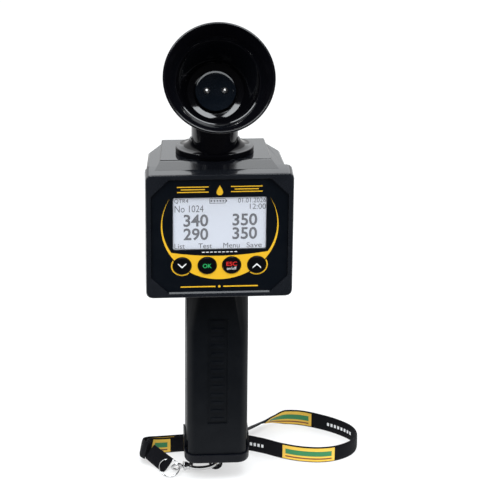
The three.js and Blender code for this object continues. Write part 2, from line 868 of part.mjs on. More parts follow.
// The neck rises from inside the head and turns into the cup at a ball-shaped elbow
function sensorCup() {
  const tilt = Math.PI / 2 - cupTilt * degree;
  const lean = (geometry) => geometry.rotateX(tilt);
  const bowl = lean(cupBody());
  const collar = lean(rodAlongZ(neckRadius, 0, floorHeight, 0, 0, ballSides));
  const ball = new THREE.SphereGeometry(neckRadius, ballSides, ballSides / 2).rotateX(Math.PI / 2);
  const neck = rodAlongZ(neckRadius, -neckRise, 0, 0, 0, ballSides);
  const foot = -neckRise - neckTail;
  const tail = rodAlongZ(neckTailRadius, foot, 0, 0, 0, ballSides);
  const bore = rodAlongZ(neckBore / 2, foot - overrun, 0, 0, 0, ballSides);
  const boreBall = new THREE.SphereGeometry(neckBore / 2, ballSides, ballSides / 2).rotateX(Math.PI / 2);
  const plugBore = lean(rodAlongZ(plugStemRadius + fit, 0, floorHeight + overrun, 0, 0, roundSides));
  const sealRoom = sealRing(closeFit, overrun).translate(0, 0, -neckRise);
  const whole = joined(bowl, collar, ball, neck, tail);
  return surface(cut(whole, lean(cupHollow()), bore, boreBall, plugBore, sealRoom));
}

function electrodePlug() {
  const low = floorHeight + closeFit;
  const profile = [
    [0, low - plugStemLength],
    [plugStemRadius, low - plugStemLength],
    [plugStemRadius, low],
    [plugRadius, low],
    [plugRadius, plugFace - plugBevel],
    [plugRadius - plugBevel, plugFace],
    [0, plugFace],
  ];
  const radius = electrodeShankDiameter / 2 + closeFit;
  const foot = low - plugStemLength - overrun;
  const holes = [-1, 1].map((side) =>
    rodAlongZ(radius, foot, plugFace + overrun, side * electrodePitch / 2, 0));
  return surface(cut(solid(turned(profile)), ...holes));
}

function electrode() {
  const seat = plugFace + closeFit / 2;
  const radius = electrodeDiameter / 2;
  const dome = Array.from({ length: domeSteps }, (_, k) => {
    const angle = k / domeSteps * Math.PI / 2;
    return [radius * Math.cos(angle), seat + radius * Math.sin(angle)];
  });
  const profile = [
    [0, seat - electrodeLength],
    [electrodeShankDiameter / 2, seat - electrodeLength],
    [electrodeShankDiameter / 2, seat],
    ...dome,
    [0, seat + radius],
  ];
  return turned(profile, smallSides);
}

// A sensor lead leaves its electrode, turns down the neck and runs to the back of the board
function sensorLead(side) {
  const tilt = cupTilt * degree;
  const along = plugFace - electrodeLength - fit;
  const x = side * electrodePitch / 2;
  const nearX = side * sensorLeadPitch / 2;
  const start = (distance) => [x, -distance * Math.cos(tilt), elbowHeight + distance * Math.sin(tilt)];
  const boardY = boardBackY + fit;
  const boardZ = boardBase + boardHeight - sensorLeadPitch;
  const points = [
    start(along),
    start(along - sensorLeadPitch / 2),
    [nearX + side * sensorLeadPitch / 4, sensorLeadPitch / 2, elbowHeight - neckRadius],
    [nearX, 0, plateauTop],
    [nearX, 0, plateauUnderside - neckTail],
    [nearX, boardY + 2 * sensorLeadPitch, boardZ + sensorLeadPitch / 2],
    [nearX, boardY, boardZ],
  ];
  return tube(points, sensorLeadDiameter, leadSteps);
}

// An oval cover on the plateau that flares up to the neck
function neckFlange() {
  const outer = flangeWidth / 2;
  const bore = neckRadius + fit;
  const flare = new THREE.QuadraticBezierCurve(
    new THREE.Vector2(outer - flangeLip, flangeEdge + flangeLip / 2),
    new THREE.Vector2(bore + cupWall, flangeEdge + flangeLip),
    new THREE.Vector2(bore + flangeLip, flangeHeight),
  );
  const profile = [
    [0, 0],
    [outer - flangeLip / 2, 0],
    [outer, flangeLip / 2],
    [outer, flangeEdge],
    ...flare.getPoints(4).map((point) => [point.x, point.y]),
    [0, flangeHeight],
  ];
  const oval = turned(profile, cupSides).scale(1, flangeDepth / flangeWidth, 1);
  const hole = rodAlongZ(bore, -overrun, flangeHeight + overrun, 0, 0, ballSides);
  return surface(cut(solid(oval), hole));
}

function neckNut() {
  const high = plateauUnderside - fit;
  const outer = nutDiameter / 2;
  const ring = solid(turned([
    [neckTailRadius + fit, high - nutHeight],
    [outer, high - nutHeight],
    [outer, high],
    [neckTailRadius + fit, high],
  ]));
  const notches = Array.from({ length: nutNotchCount }, (_, k) => {
    const height = nutHeight + 2 * overrun;
    const notch = box(2 * nutNotchDepth, nutNotchWidth, height, outer, 0, high - nutHeight / 2);
    return notch.rotateZ(k * 2 * Math.PI / nutNotchCount);
  });
  return surface(cut(ring, ...notches));
}

function buildCup() {
  const cup = new THREE.Group();
  cup.position.set(shellShift, 0, gripTop);
  const elbow = new THREE.Group();
  elbow.position.z = elbowHeight;
  elbow.add(mesh('sensor_cup', sensorCup(), glossBlack));
  const axis = new THREE.Group();
  axis.rotation.x = Math.PI / 2 - cupTilt * degree;
  axis.add(mesh('electrode_plug', electrodePlug(), faceBlack));
  for (const [name, side] of [['electrode_left', -1], ['electrode_right', 1]]) {
    const pin = mesh(name, electrode(), steel);
    pin.position.x = side * electrodePitch / 2;
    axis.add(pin);
  }
  elbow.add(axis);
  const flange = mesh('neck_flange', neckFlange(), glossBlack);
  flange.position.z = plateauTop;
  const seal = mesh('neck_seal', sealRing(0, 0), rubber);
  seal.position.z = plateauTop;
  cup.add(elbow, flange, seal, mesh('neck_nut', neckNut(), faceBlack));
  cup.add(mesh('sensor_lead_left', sensorLead(-1), blackWire));
  cup.add(mesh('sensor_lead_right', sensorLead(1), redWire));
  return cup;
}

// Clasp: the claw lies flat, with its tip through the lug's hole at the group's origin

const clawCentre = clawBar / 2 - clawLength / 2;
const clawLeft = clawBar / 2 - clawLength;
const clawInnerLeft = clawLeft + clawBar;
const barrelLeft = clawInnerLeft - barrelLength;

function clawPlate(inset, thickness) {
  const outline = new THREE.Shape();
  outline.absellipse(clawCentre, 0, clawLength / 2 - inset, clawWidth / 2 - inset, 0, 2 * Math.PI);
  const options = { depth: thickness, bevelEnabled: false, curveSegments: roundSides };
  return moved(new THREE.ExtrudeGeometry(outline, options), 0, 0, -thickness / 2);
}

function clawRing() {
  return cut(solid(clawPlate(0, clawThickness)), clawPlate(clawBar, clawThickness + 2 * overrun));
}

function hingeRod(radius, thickness) {
  return rodAlongZ(radius, -thickness / 2, thickness / 2, -hingeReach, hingeSide);
}

// The part of the back side that the gate takes
function gateZone(extra) {
  const left = -hingeReach - extra;
  const right = -clawTipReach + extra;
  const side = clawWidth / 2 + overrun;
  const middleY = side / 2 + hingeRadius / 2;
  return box(right - left, side, clawThickness + 2 * overrun, (left + right) / 2, middleY, 0);
}

function claspClaw() {
  const knuckle = hingeRod(hingeRadius, clawThickness);
  const barrel = rodAlongX(barrelDiameter / 2, barrelLeft, clawInnerLeft + fit);
  const slotSize = 2 * hingeRadius + 2 * fit;
  const slotHeight = gateTangThickness + 2 * closeFit;
  const slot = box(slotSize, slotSize, slotHeight, -hingeReach + fit, hingeSide, 0);
  const bore = rodAlongX(swivelShankDiameter / 2 + fit, barrelLeft - overrun, clawCentre);
  const pinHole = hingeRod(hingePinDiameter / 2 + closeFit, 2 * clawThickness);
  const inside = clawPlate(clawBar, clawThickness + barrelDiameter);
  const open = cut(clawRing(), gateZone(0));
  const base = open.add(solid(knuckle)).add(solid(barrel));
  const headEnd = clawInnerLeft + swivelHeadLength + 2 * fit;
  const headRoom = rodAlongX(swivelHeadDiameter / 2 + fit, clawInnerLeft, headEnd);
  return surface(cut(base, inside, slot, bore, headRoom, pinHole));
}

function claspGate() {
  const ringPart = clawRing().intersect(solid(gateZone(-gateGap)));
  const knuckleRoom = hingeRod(hingeRadius + fit, 2 * clawThickness);
  const tangDisc = hingeRod(hingeRadius, gateTangThickness);
  const tangLength = 2 * hingeRadius + fit;
  const tang = box(tangLength, gateBar, gateTangThickness, -hingeReach + tangLength / 2, hingeSide, 0);
  const thumbX = -hingeReach + 2 * hingeRadius + thumbLength / 2;
  const thumb = box(thumbLength, gateBar, clawThickness, thumbX, clawWidth / 2, 0);
  const pinHole = hingeRod(hingePinDiameter / 2 + closeFit, 2 * clawThickness);
  const lever = ringPart.add(solid(thumb)).subtract(solid(knuckleRoom));
  return surface(lever.add(solid(tangDisc)).add(solid(tang)).subtract(solid(pinHole)));
}

function claspPin() {
  return hingeRod(hingePinDiameter / 2, clawThickness);
}

const eyeCentre = barrelLeft - fit - eyeRadius - eyeWire / 2;

function swivelEye() {
  const eye = moved(new THREE.TorusGeometry(eyeRadius, eyeWire / 2, tubeSides, eyeSides), eyeCentre, 0, 0);
  const headStart = clawInnerLeft + fit;
  const shankEnd = headStart + swivelHeadLength / 2;
  const shank = rodAlongX(swivelShankDiameter / 2, eyeCentre + eyeRadius, shankEnd);
  const head = rodAlongX(swivelHeadDiameter / 2, headStart, headStart + swivelHeadLength);
  return surface(joined(eye, shank, head));
}

const ringCross = eyeCentre + eyeRadius - eyeWire / 2 - fit - splitRingWire / 2;
const splitRingCentre = ringCross - splitRingRadius;

function splitRing() {
  const outer = splitRingRadius + splitRingWire / 2;
  const inner = splitRingRadius - splitRingWire / 2;
  const half = splitRingHeight / 2;
  const ring = turned([[inner, -half], [outer, -half], [outer, half], [inner, half]]);
  return moved(ring, splitRingCentre, 0, 0);
}

function buildClasp() {
  const clasp = new THREE.Group();
  clasp.position.z = -lugHoleDrop;
  clasp.rotation.order = 'ZYX';
  clasp.rotation.z = claspYaw * degree;
  clasp.rotation.y = -claspDip * degree;
  clasp.add(mesh('clasp_claw', claspClaw(), chrome));
  clasp.add(mesh('clasp_gate', claspGate(), chrome));
  clasp.add(mesh('clasp_pin', claspPin(), chrome));
  const eye = mesh('swivel_eye', swivelEye(), chrome);
  eye.rotation.x = Math.PI / 2 + eyeRoll * degree;
  const ring = mesh('split_ring', splitRing(), chrome);
  ring.rotation.x = eyeRoll * degree;
  clasp.add(eye, ring);
  return clasp;
}

// Strap: a flat band on edge. Each row is a place and the direction of the band's width.

const floorLine = -lugLength;
const strapMiddle = floorLine + strapWidth / 2 + fit;

const tailRoute = [
  [[-30.4, 0.8, -5.3], [0.8, 0.2, 0.56]],
  [[-33.7, 3.3, -3.8], [0.66, 0.1, 0.74]],
  [[-37.7, 5.9, -2.9], [0.5, 0, 0.86]],
];

const loopRoute = [
  [[-38.0, 7.2, -2.9], [0.48, 0, 0.88]],
  [[-39.8, 10.1, -3.4], [0.3, 0, 0.95]],
  [[-39.4, 13.9, -4.6], [0.12, 0, 0.99]],
  [[-36.2, 17.1, -6.1], [0, 0, 1]],
  [[-30.0, 18.8, strapMiddle], [0, 0, 1]],
  [[-16.0, 20.3, strapMiddle], [0, 0, 1]],
  [[0.0, 20.9, strapMiddle], [0, 0, 1]],
  [[16.0, 20.6, strapMiddle], [0, 0, 1]],
  [[28.0, 15.8, strapMiddle], [0, 0, 1]],
  [[39.0, 9.4, strapMiddle], [0, 0, 1]],
  [[50.0, 5.0, strapMiddle], [0, 0, 1]],
  [[62.0, 3.4, strapMiddle], [0, 0, 1]],
  [[72.5, 5.8, strapMiddle], [0, 0, 1]],
  [[80.4, 11.8, strapMiddle], [0, 0, 1]],
  [[83.6, 19.4, strapMiddle], [0, 0, 1]],
  [[81.4, 27.6, strapMiddle], [0, 0, 1]],
  [[73.6, 36.0, strapMiddle], [0, 0, 1]],
  [[63.4, 42.8, strapMiddle], [0, 0, 1]],
  [[53.0, 47.6, strapMiddle], [0, 0, 1]],
  [[43.6, 48.6, strapMiddle], [0, -0.1, 1]],
  [[36.4, 44.6, strapMiddle], [0, -0.5, 0.87]],
  [[29.6, 36.6, strapMiddle], [0, -0.75, 0.66]],
  [[23.4, 28.8, strapMiddle], [0, -0.6, 0.8]],
  [[15.0, 24.2, strapMiddle], [0, -0.2, 0.98]],
  [[0.0, 23.2, strapMiddle], [0, 0, 1]],
  [[-16.0, 22.6, strapMiddle], [0, 0, 1]],
  [[-31.0, 21.2, strapMiddle], [0, 0, 1]],
  [[-38.4, 18.9, -6.1], [0, 0, 1]],
  [[-42.0, 14.5, -4.6], [0.12, 0, 0.99]],
  [[-41.9, 9.5, -3.4], [0.3, 0, 0.95]],
  [[-39.6, 5.9, -2.9], [0.48, 0, 0.88]],
];

function band(route, thickness, steps) {
  const places = new THREE.CatmullRomCurve3(route.map(([place]) => new THREE.Vector3(...place)));
  const widths = new THREE.CatmullRomCurve3(route.map(([, width]) => new THREE.Vector3(...width)));
  const rings = [];
  for (let step = 0; step <= steps; step++) {
    const share = step / steps;
    const centre = places.getPoint(share);
    const ahead = places.getTangent(share);
    const across = widths.getPoint(share).projectOnPlane(ahead).normalize();
    const through = new THREE.Vector3().crossVectors(ahead, across);
    const outline = cornerRing(strapWidth, thickness, thickness * strapEdgeShare, 1, 1);
    rings.push(outline.map((point) =>
      centre.clone().addScaledVector(across, point.x).addScaledVector(through, point.y)));
  }
  return loft(rings);
}

function buildStrap() {
  const strap = new THREE.Group();
  strap.add(mesh('strap_tail', band(tailRoute, tailThickness, tailSteps), webbing));
  strap.add(mesh('strap_loop', band(loopRoute, strapThickness, loopSteps), webbing));
  return strap;
}

const detector = new THREE.Group();
detector.position.z = -originHeight;
detector.add(buildGrip(), buildHead(), buildCup(), buildClasp(), buildStrap());

export default detector;
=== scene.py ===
"""Handheld mastitis detector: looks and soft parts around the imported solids.

Shapes are worked out in millimetres, and place_piece turns them into metres.
"""

import math

import bmesh
import bpy
from mathutils import Matrix, Vector, geometry


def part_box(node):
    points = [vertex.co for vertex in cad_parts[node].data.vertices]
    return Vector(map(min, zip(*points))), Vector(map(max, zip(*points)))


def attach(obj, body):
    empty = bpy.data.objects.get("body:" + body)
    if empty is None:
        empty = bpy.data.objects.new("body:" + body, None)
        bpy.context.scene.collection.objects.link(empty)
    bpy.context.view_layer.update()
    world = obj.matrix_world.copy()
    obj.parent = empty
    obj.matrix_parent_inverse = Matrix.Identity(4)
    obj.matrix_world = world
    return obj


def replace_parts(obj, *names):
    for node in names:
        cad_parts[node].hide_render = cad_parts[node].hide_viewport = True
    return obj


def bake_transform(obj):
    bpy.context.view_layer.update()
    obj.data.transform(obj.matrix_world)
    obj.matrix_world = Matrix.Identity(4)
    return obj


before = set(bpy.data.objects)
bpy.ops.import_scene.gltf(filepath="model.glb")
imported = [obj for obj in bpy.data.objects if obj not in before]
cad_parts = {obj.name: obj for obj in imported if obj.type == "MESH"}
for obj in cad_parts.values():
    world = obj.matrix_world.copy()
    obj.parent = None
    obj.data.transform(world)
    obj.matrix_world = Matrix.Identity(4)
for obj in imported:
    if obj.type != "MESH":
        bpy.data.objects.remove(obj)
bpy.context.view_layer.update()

bl_info = {
    "name": "Mastitis detector",
    "version": (1, 0, 0),
    "blender": (4, 5, 0),
    "location": "View3D > Sidebar > Detector",
    "description": "Builds the looks of a handheld mastitis detector",
    "category": "Object",
}

MM = 0.001
QUARTER = math.pi / 2
FULL_TURN = 2 * math.pi


def in_mm(box):
    """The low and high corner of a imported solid, in millimetres."""
    return [corner / MM for corner in box]


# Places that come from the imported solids, in millimetres
FACE_LOW, FACE_HIGH = in_mm(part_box("head_front_bezel"))
FILM_LOW = in_mm(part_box("label_film"))[0]
WINDOW_LOW, WINDOW_HIGH = in_mm(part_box("display_window"))
KEY_LOW, KEY_HIGH = in_mm(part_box("key_ok"))
CUP_LOW = in_mm(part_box("sensor_cup"))[0]
FLANGE_LOW, FLANGE_HIGH = in_mm(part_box("neck_flange"))
SEAL_LOW, SEAL_HIGH = in_mm(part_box("neck_seal"))
PLATEAU_TOP = in_mm(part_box("head_rear_shell"))[1].z
NECK_X = (FLANGE_LOW.x + FLANGE_HIGH.x) / 2
KEY_Z = (KEY_LOW.z + KEY_HIGH.z) / 2
KEY_NAMES = ("key_down", "key_ok", "key_esc", "key_up")
KEY_X = {name: sum(corner.x for corner in in_mm(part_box(name))) / 2 for name in KEY_NAMES}


# Sizes and colours that a user can change


class CupSettings(bpy.types.PropertyGroup):
    """Sizes of the milk cup, its neck and flange"""

    rim_radius: bpy.props.FloatProperty(
        name="Rim radius", description="Outer radius of the rim", default=29.5 * MM, unit="LENGTH"
    )
    wall: bpy.props.FloatProperty(
        name="Wall", description="Thickness of the cup's wall", default=2.2 * MM, unit="LENGTH"
    )
    neck_radius: bpy.props.FloatProperty(
        name="Neck radius", description="Outer radius of the neck", default=12.7 * MM, unit="LENGTH"
    )
    elbow_height: bpy.props.FloatProperty(
        name="Elbow height", description="Height of the elbow", default=162.2 * MM, unit="LENGTH"
    )
    lean: bpy.props.FloatProperty(
        name="Lean", description="The cup's axis from upright", default=math.radians(58), subtype="ANGLE"
    )
    plug_radius: bpy.props.FloatProperty(
        name="Plug radius", description="Radius of the electrode plug", default=11 * MM, unit="LENGTH"
    )
    electrode_pitch: bpy.props.FloatProperty(
        name="Pitch", description="Distance between the electrodes", default=9.7 * MM, unit="LENGTH"
    )
    electrode_radius: bpy.props.FloatProperty(
        name="Electrode", description="Radius of an electrode's dome", default=1.8 * MM, unit="LENGTH"
    )


class LabelSettings(bpy.types.PropertyGroup):
    """Sizes and colours of the printed label and the display"""

    gold: bpy.props.FloatVectorProperty(
        name="Gold", description="Colour of the crescent", default=(0.86, 0.49, 0.014), subtype="COLOR"
    )
    display: bpy.props.FloatVectorProperty(
        name="Display", description="Display's ground", default=(0.66, 0.69, 0.76), subtype="COLOR"
    )
    digits: bpy.props.FloatVectorProperty(
        name="Digits", description="Display's figures", default=(0.055, 0.056, 0.072), subtype="COLOR"
    )
    print_thickness: bpy.props.FloatProperty(
        name="Print thickness", description="Thickness of the ink", default=0.05 * MM, unit="LENGTH"
    )
    crescent_radius: bpy.props.FloatProperty(
        name="Crescent radius", description="Crescent's outer radius", default=31.8 * MM, unit="LENGTH"
    )
    crescent_drop: bpy.props.FloatProperty(
        name="Crescent drop", description="Centre below the face's top", default=30.8 * MM, unit="LENGTH"
    )


class StrapSettings(bpy.types.PropertyGroup):
    """Sizes and colours of the wrist strap"""

    width: bpy.props.FloatProperty(
        name="Width", description="Width of the webbing", default=10 * MM, unit="LENGTH"
    )
    thickness: bpy.props.FloatProperty(
        name="Thickness", description="Thickness of the webbing", default=1.1 * MM, unit="LENGTH"
    )
    webbing: bpy.props.FloatVectorProperty(
        name="Webbing", description="Webbing's colour", default=(0.0022, 0.0022, 0.0036), subtype="COLOR"
    )
    panel: bpy.props.FloatVectorProperty(
        name="Panel", description="Colour of the printed panels", default=(0.8, 0.5, 0.06), subtype="COLOR"
    )


class StageSettings(bpy.types.PropertyGroup):
    """Camera, floor and light"""

    elevation: bpy.props.FloatProperty(
        name="Elevation", description="Camera above the horizon", default=math.radians(25.4), subtype="ANGLE"
    )
    swing: bpy.props.FloatProperty(
        name="Swing", description="Camera towards the left", default=math.radians(4.2), subtype="ANGLE"
    )
    roll: bpy.props.FloatProperty(
        name="Roll", description="Camera roll", default=math.radians(0.65), subtype="ANGLE"
    )
    distance: bpy.props.FloatProperty(
        name="Distance", description="Camera distance from its target", default=1.35, unit="LENGTH"
    )
    lens: bpy.props.FloatProperty(name="Lens", description="Focal length in millimetres", default=179.2)


def lengths(settings, *names):
    """The named lengths of a settings group, in millimetres."""
    return [getattr(settings, name) / MM for name in names]


# Shader helpers


def fill(node, **values):
    """Sets a node's properties and sockets, where _ stands for a space in a socket's name."""
    for key, value in values.items():
        if hasattr(node, key):
            setattr(node, key, value)
        else:
            node.inputs[key.replace("_", " ")].default_value = value
    return node


def add_node(tree, kind, **values):
    """A shader node with the given properties and socket values."""
    return fill(tree.nodes.new("ShaderNode" + kind), **values)


def maths(tree, operation, *values):
    """The result of a Math node on numbers and sockets."""
    made = add_node(tree, "Math", operation=operation)
    for socket, value in zip(made.inputs, values):
        if isinstance(value, (int, float)):
            socket.default_value = value
        else:
            tree.links.new(value, socket)
    return made.outputs[0]


def wire(tree, *wires):
    """Links each (output, node, input)."""
    for output, node, entry in wires:
        tree.links.new(output, node.inputs[entry])


def make_group(name, inputs, outputs):
    """An empty shader node group with its sockets, its given values and its output node."""
    tree = bpy.data.node_groups.new(name, "ShaderNodeTree")
    kinds = {"Color": "NodeSocketColor"}
    for label, value in inputs.items():
        kind = kinds.get(label, "NodeSocketFloat")
        tree.interface.new_socket(name=label, in_out="INPUT", socket_type=kind).default_value = value
    for label in outputs:
        kind = kinds.get(label, "NodeSocketFloat")
        tree.interface.new_socket(name=label, in_out="OUTPUT", socket_type=kind)
    return tree, tree.nodes.new("NodeGroupInput").outputs, tree.nodes.new("NodeGroupOutput")


def moulded_grain_group():
    """Moulded surface: a fine bump and a slow change of gloss, on object coordinates."""
    given = {"Scale": 1500.0, "Gloss": 0.3, "Change": 0.08}
    tree, given, out = make_group("moulded_grain", given, ("Height", "Roughness"))
    place = add_node(tree, "TexCoord").outputs["Object"]
    fine = add_node(tree, "TexNoise", Detail=3.0, Roughness=0.6)
    slow = add_node(tree, "TexNoise", Scale=38.0, Detail=2.0)
    wire(tree, (place, fine, "Vector"), (given["Scale"], fine, "Scale"), (place, slow, "Vector"))
    drift = maths(tree, "SUBTRACT", slow.outputs["Fac"], 0.5)
    gloss = maths(tree, "MULTIPLY_ADD", drift, given["Change"], given["Gloss"])
    wire(tree, (fine.outputs["Fac"], out, "Height"), (gloss, out, "Roughness"))
    return tree


def worn_tone_group():
    """A base colour that picks up pale dust in a slow noise."""
    given = {"Color": (0.1, 0.1, 0.1, 1), "Dust": 0.05, "Scale": 90.0}
    tree, given, out = make_group("worn_tone", given, ("Color",))
    place = add_node(tree, "TexCoord").outputs["Object"]
    cloud = add_node(tree, "TexNoise", Detail=5.0, Roughness=0.65)
    ramp = add_node(tree, "MapRange", From_Min=0.42, From_Max=0.78)
    wire(tree, (place, cloud, "Vector"), (given["Scale"], cloud, "Scale"))
    wire(tree, (cloud.outputs["Fac"], ramp, "Value"))
    share = maths(tree, "MULTIPLY", ramp.outputs["Result"], given["Dust"])
    mix = add_node(tree, "Mix", data_type="RGBA", B=(0.36, 0.37, 0.4, 1))
    wire(tree, (share, mix, "Factor"), (given["Color"], mix, "A"), (mix.outputs["Result"], out, "Color"))
    return tree


GROUP_MAKERS = {"moulded_grain": moulded_grain_group, "worn_tone": worn_tone_group}
GROUPS = {}


def shared(tree, name, **values):
    """The shared node group of that name, built once and placed in a tree."""
    if name not in GROUPS:
        GROUPS[name] = GROUP_MAKERS[name]()
    return add_node(tree, "Group", node_tree=GROUPS[name], **values).outputs


def start_material(name, **values):
    """A material, its tree and its Principled BSDF with the given socket values."""
    material = bpy.data.materials.new(name)
    material.use_nodes = True
    tree = material.node_tree
    return material, tree, fill(tree.nodes["Principled BSDF"], **values)


def moulded(name, color, gloss, change, grain, bump, depth, dust, **values):
    """A material with its own tone, dust, gloss and grain, which is a bump with a depth in millimetres."""
    material, tree, shader = start_material(name, **values)
    tone = shared(tree, "worn_tone", Color=(*color, 1), Dust=dust)
    surface = shared(tree, "moulded_grain", Scale=grain, Gloss=gloss, Change=change)
    relief = add_node(tree, "Bump", Strength=bump, Distance=depth * MM)
    wire(tree, (surface["Height"], relief, "Height"), (relief.outputs["Normal"], shader, "Normal"))
    wire(tree, (surface["Roughness"], shader, "Roughness"), (tone["Color"], shader, "Base Color"))
    return material


def plastic(name, color, gloss, change, grain, bump, depth=0.05, dust=0.02, ior=1.45, level=0.5):
    """Moulded plastic or rubber."""
    return moulded(name, color, gloss, change, grain, bump, depth, dust, IOR=ior, Specular_IOR_Level=level)


def metal(name, color, gloss):
    """Plated or polished metal with faint handling marks."""
    return moulded(name, color, gloss, 0.12, 900.0, 0.03, 0.05, 0.12, Metallic=1.0)


def ink(name, color, gloss=0.35):
    """Screen-printed ink: a flat tone with the fine mottle of printing."""
    return plastic(name, color, gloss, 0.1, 4000.0, 0.05, 0.02, 0.03)


def pane_material():
    """Clear window: a thin pane that mostly lets the display through."""
    clear = {"Base_Color": (0.9, 0.92, 0.96, 1), "Alpha": 0.08, "Specular_IOR_Level": 0.3}
    material, tree, shader = start_material("window_pane", **clear)
    surface = shared(tree, "moulded_grain", Scale=300.0, Gloss=0.05, Change=0.04)
    wire(tree, (surface["Roughness"], shader, "Roughness"))
    material.surface_render_method = "BLENDED"
    return material


def display_material(color):
    """The display's pale ground, with the faint grid of its cells."""
    material, tree, shader = start_material("display_ground", Roughness=0.4, Specular_IOR_Level=0.2)
    place = add_node(tree, "TexCoord").outputs["Object"]
    shade = (color[0] * 0.93, color[1] * 0.94, color[2] * 0.97, 1)
    tone = add_node(tree, "Mix", data_type="RGBA", A=(*color, 1), B=shade)
    cells = add_node(tree, "TexBrick", Scale=1.0, offset=0.0, Brick_Width=0.4, Row_Height=0.4)
    fill(cells, Color1=(0, 0, 0, 1), Color2=(0, 0, 0, 1), Mortar=(1, 1, 1, 1), Mortar_Size=0.03)
    turn = add_node(tree, "Mapping", Rotation=(-QUARTER, 0, 0), Scale=(1000, 1000, 1000))
    wire(tree, (place, turn, "Vector"), (turn.outputs["Vector"], cells, "Vector"))
    wire(tree, (cells.outputs["Color"], tone, "Factor"), (tone.outputs["Result"], shader, "Base Color"))
    return material


def webbing_material(color):
    """Woven polyester, on its own UV map in millimetres along and across; the raised crossings of the weave
    are painted lighter, a painted sheen on the threads.
    """
    matte = {"Roughness": 0.75, "Sheen_Weight": 0.02, "Specular_IOR_Level": 0.1}
    material, tree, shader = start_material("strap_webbing", **matte)
    place = add_node(tree, "UVMap", uv_map="strap").outputs["UV"]
    split = add_node(tree, "SeparateXYZ")
    wire(tree, (place, split, 0))
    warp_pitch, weft_pitch = 0.9, 0.7
    warp = maths(tree, "SINE", maths(tree, "MULTIPLY", split.outputs["X"], FULL_TURN / warp_pitch))
    weft = maths(tree, "SINE", maths(tree, "MULTIPLY", split.outputs["Y"], FULL_TURN / weft_pitch))
    weave = maths(tree, "MULTIPLY", warp, weft)
    share = maths(tree, "MULTIPLY", maths(tree, "ADD", weave, 1.0), 0.3)
    relief = add_node(tree, "Bump", Strength=0.5, Distance=0.12 * MM)
    # painted sheen: where the weave rises, the colour is mixed towards a lighter tone
    tone = add_node(tree, "Mix", data_type="RGBA", A=(*color, 1), B=(0.0075, 0.0078, 0.011, 1))
    wire(tree, (weave, relief, "Height"), (relief.outputs["Normal"], shader, "Normal"))
    wire(tree, (share, tone, "Factor"), (tone.outputs["Result"], shader, "Base Color"))
    return material


# Material name, colour, gloss, its change, grain, bump, depth, dust, index, specular level
PLASTICS = {
    "gloss_black": ("gloss_black_plastic", (0.005, 0.0056, 0.008), 0.09, 0.04, 900, 0.008, 0.05, 0.006, 1.5),
    "sweep_black": (
        "sweep_black_plastic", (0.005, 0.0056, 0.008), 0.16, 0.05, 900, 0.008, 0.05, 0.006, 1.5, 0.95
    ),
    "cup_black": ("cup_black_plastic", (0.002, 0.002, 0.003), 0.07, 0.05, 700, 0.01, 0.05, 0.003, 1.5, 0.4),
    "face_black": ("face_black_plastic", (0.009, 0.0105, 0.014), 0.13, 0.05, 2600, 0.03, 0.05, 0.01),
    "sill_black": (
        "sill_black_plastic", (0.009, 0.0105, 0.014), 0.2, 0.03, 900, 0.002, 0.05, 0.01, 1.45, 0.32
    ),
    "film_black": (
        "label_film_black", (0.0026, 0.0042, 0.0072), 0.38, 0.05, 3200, 0.08, 0.05, 0.005, 1.45, 0.18
    ),
    "key_black": (
        "key_black_plastic", (0.0025, 0.0025, 0.0035), 0.3, 0.06, 2600, 0.08, 0.05, 0.005, 1.45, 0.25
    ),
    "grip_black": (
        "grip_matte_plastic", (0.0026, 0.0036, 0.0055), 0.46, 0.14, 1250, 0.32, 0.08, 0.006, 1.45, 0.15
    ),
    "cap_black": (
        "cap_satin_plastic", (0.0022, 0.0028, 0.005), 0.28, 0.1, 1500, 0.14, 0.05, 0.006, 1.45, 0.16
    ),
    "plug_black": ("plug_blue_black", (0.003, 0.005, 0.0085), 0.05, 0.04, 1800, 0.015, 0.05, 0.01, 1.45, 0.3),
    "rubber": ("seal_rubber", (0.012, 0.012, 0.013), 0.7, 0.1, 1400, 0.2, 0.05, 0.05),
    "board": ("board_green", (0.012, 0.09, 0.03), 0.4, 0.1, 700, 0.2, 0.05, 0.03),
    "battery": ("battery_sleeve", (0.03, 0.075, 0.2), 0.35, 0.1, 500, 0.05, 0.05, 0.05),
    "red_wire": ("red_insulation", (0.5, 0.02, 0.015), 0.4, 0.1, 1200, 0.1),
    "black_wire": ("black_insulation", (0.01, 0.01, 0.012), 0.4, 0.1, 1200, 0.1),
    "thread": ("stitching_thread", (0.05, 0.05, 0.065), 0.7, 0.1, 3000, 0.3, 0.05, 0.05),
}
METALS = {
    "steel": ("electrode_steel", (0.9, 0.88, 0.86), 0.36),
    "screw_steel": ("screw_steel", (0.5, 0.5, 0.52), 0.3),
    "chrome": ("clasp_chrome", (0.6, 0.6, 0.6), 0.08),
}
INKS = {
    "white_ink": ("white_ink", (0.85, 0.86, 0.87)),
    "green_ink": ("green_ink", (0.02, 0.42, 0.12)),
    "stripe_ink": ("stripe_ink", (0.02, 0.2, 0.065)),
    "red_ink": ("red_ink", (0.72, 0.02, 0.015)),
    "brown_ink": ("brown_ink", (0.16, 0.03, 0.012)),
}
# Finishes with a colour that a user can change, and the pane
SET_FINISHES = {
    "pane": lambda scene: pane_material(),
    "display": lambda scene: display_material(scene.detector_label.display),
    "webbing": lambda scene: webbing_material(scene.detector_strap.webbing),
    "gold_ink": lambda scene: ink("gold_ink", scene.detector_label.gold),
    "digit_ink": lambda scene: ink("digit_ink", scene.detector_label.digits, 0.5),
    "panel_print": lambda scene: ink("panel_print", scene.detector_strap.panel, 0.6),
}
MATERIALS = {}


def finish_of(name):
    """The named finish, built once."""
    if name in SET_FINISHES and name not in MATERIALS:
        MATERIALS[name] = SET_FINISHES[name](bpy.context.scene)
    for table, maker in ((PLASTICS, plastic), (METALS, metal), (INKS, ink)):
        if name in table and name not in MATERIALS:
            MATERIALS[name] = maker(*table[name])
    return MATERIALS[name]


# Mesh helpers


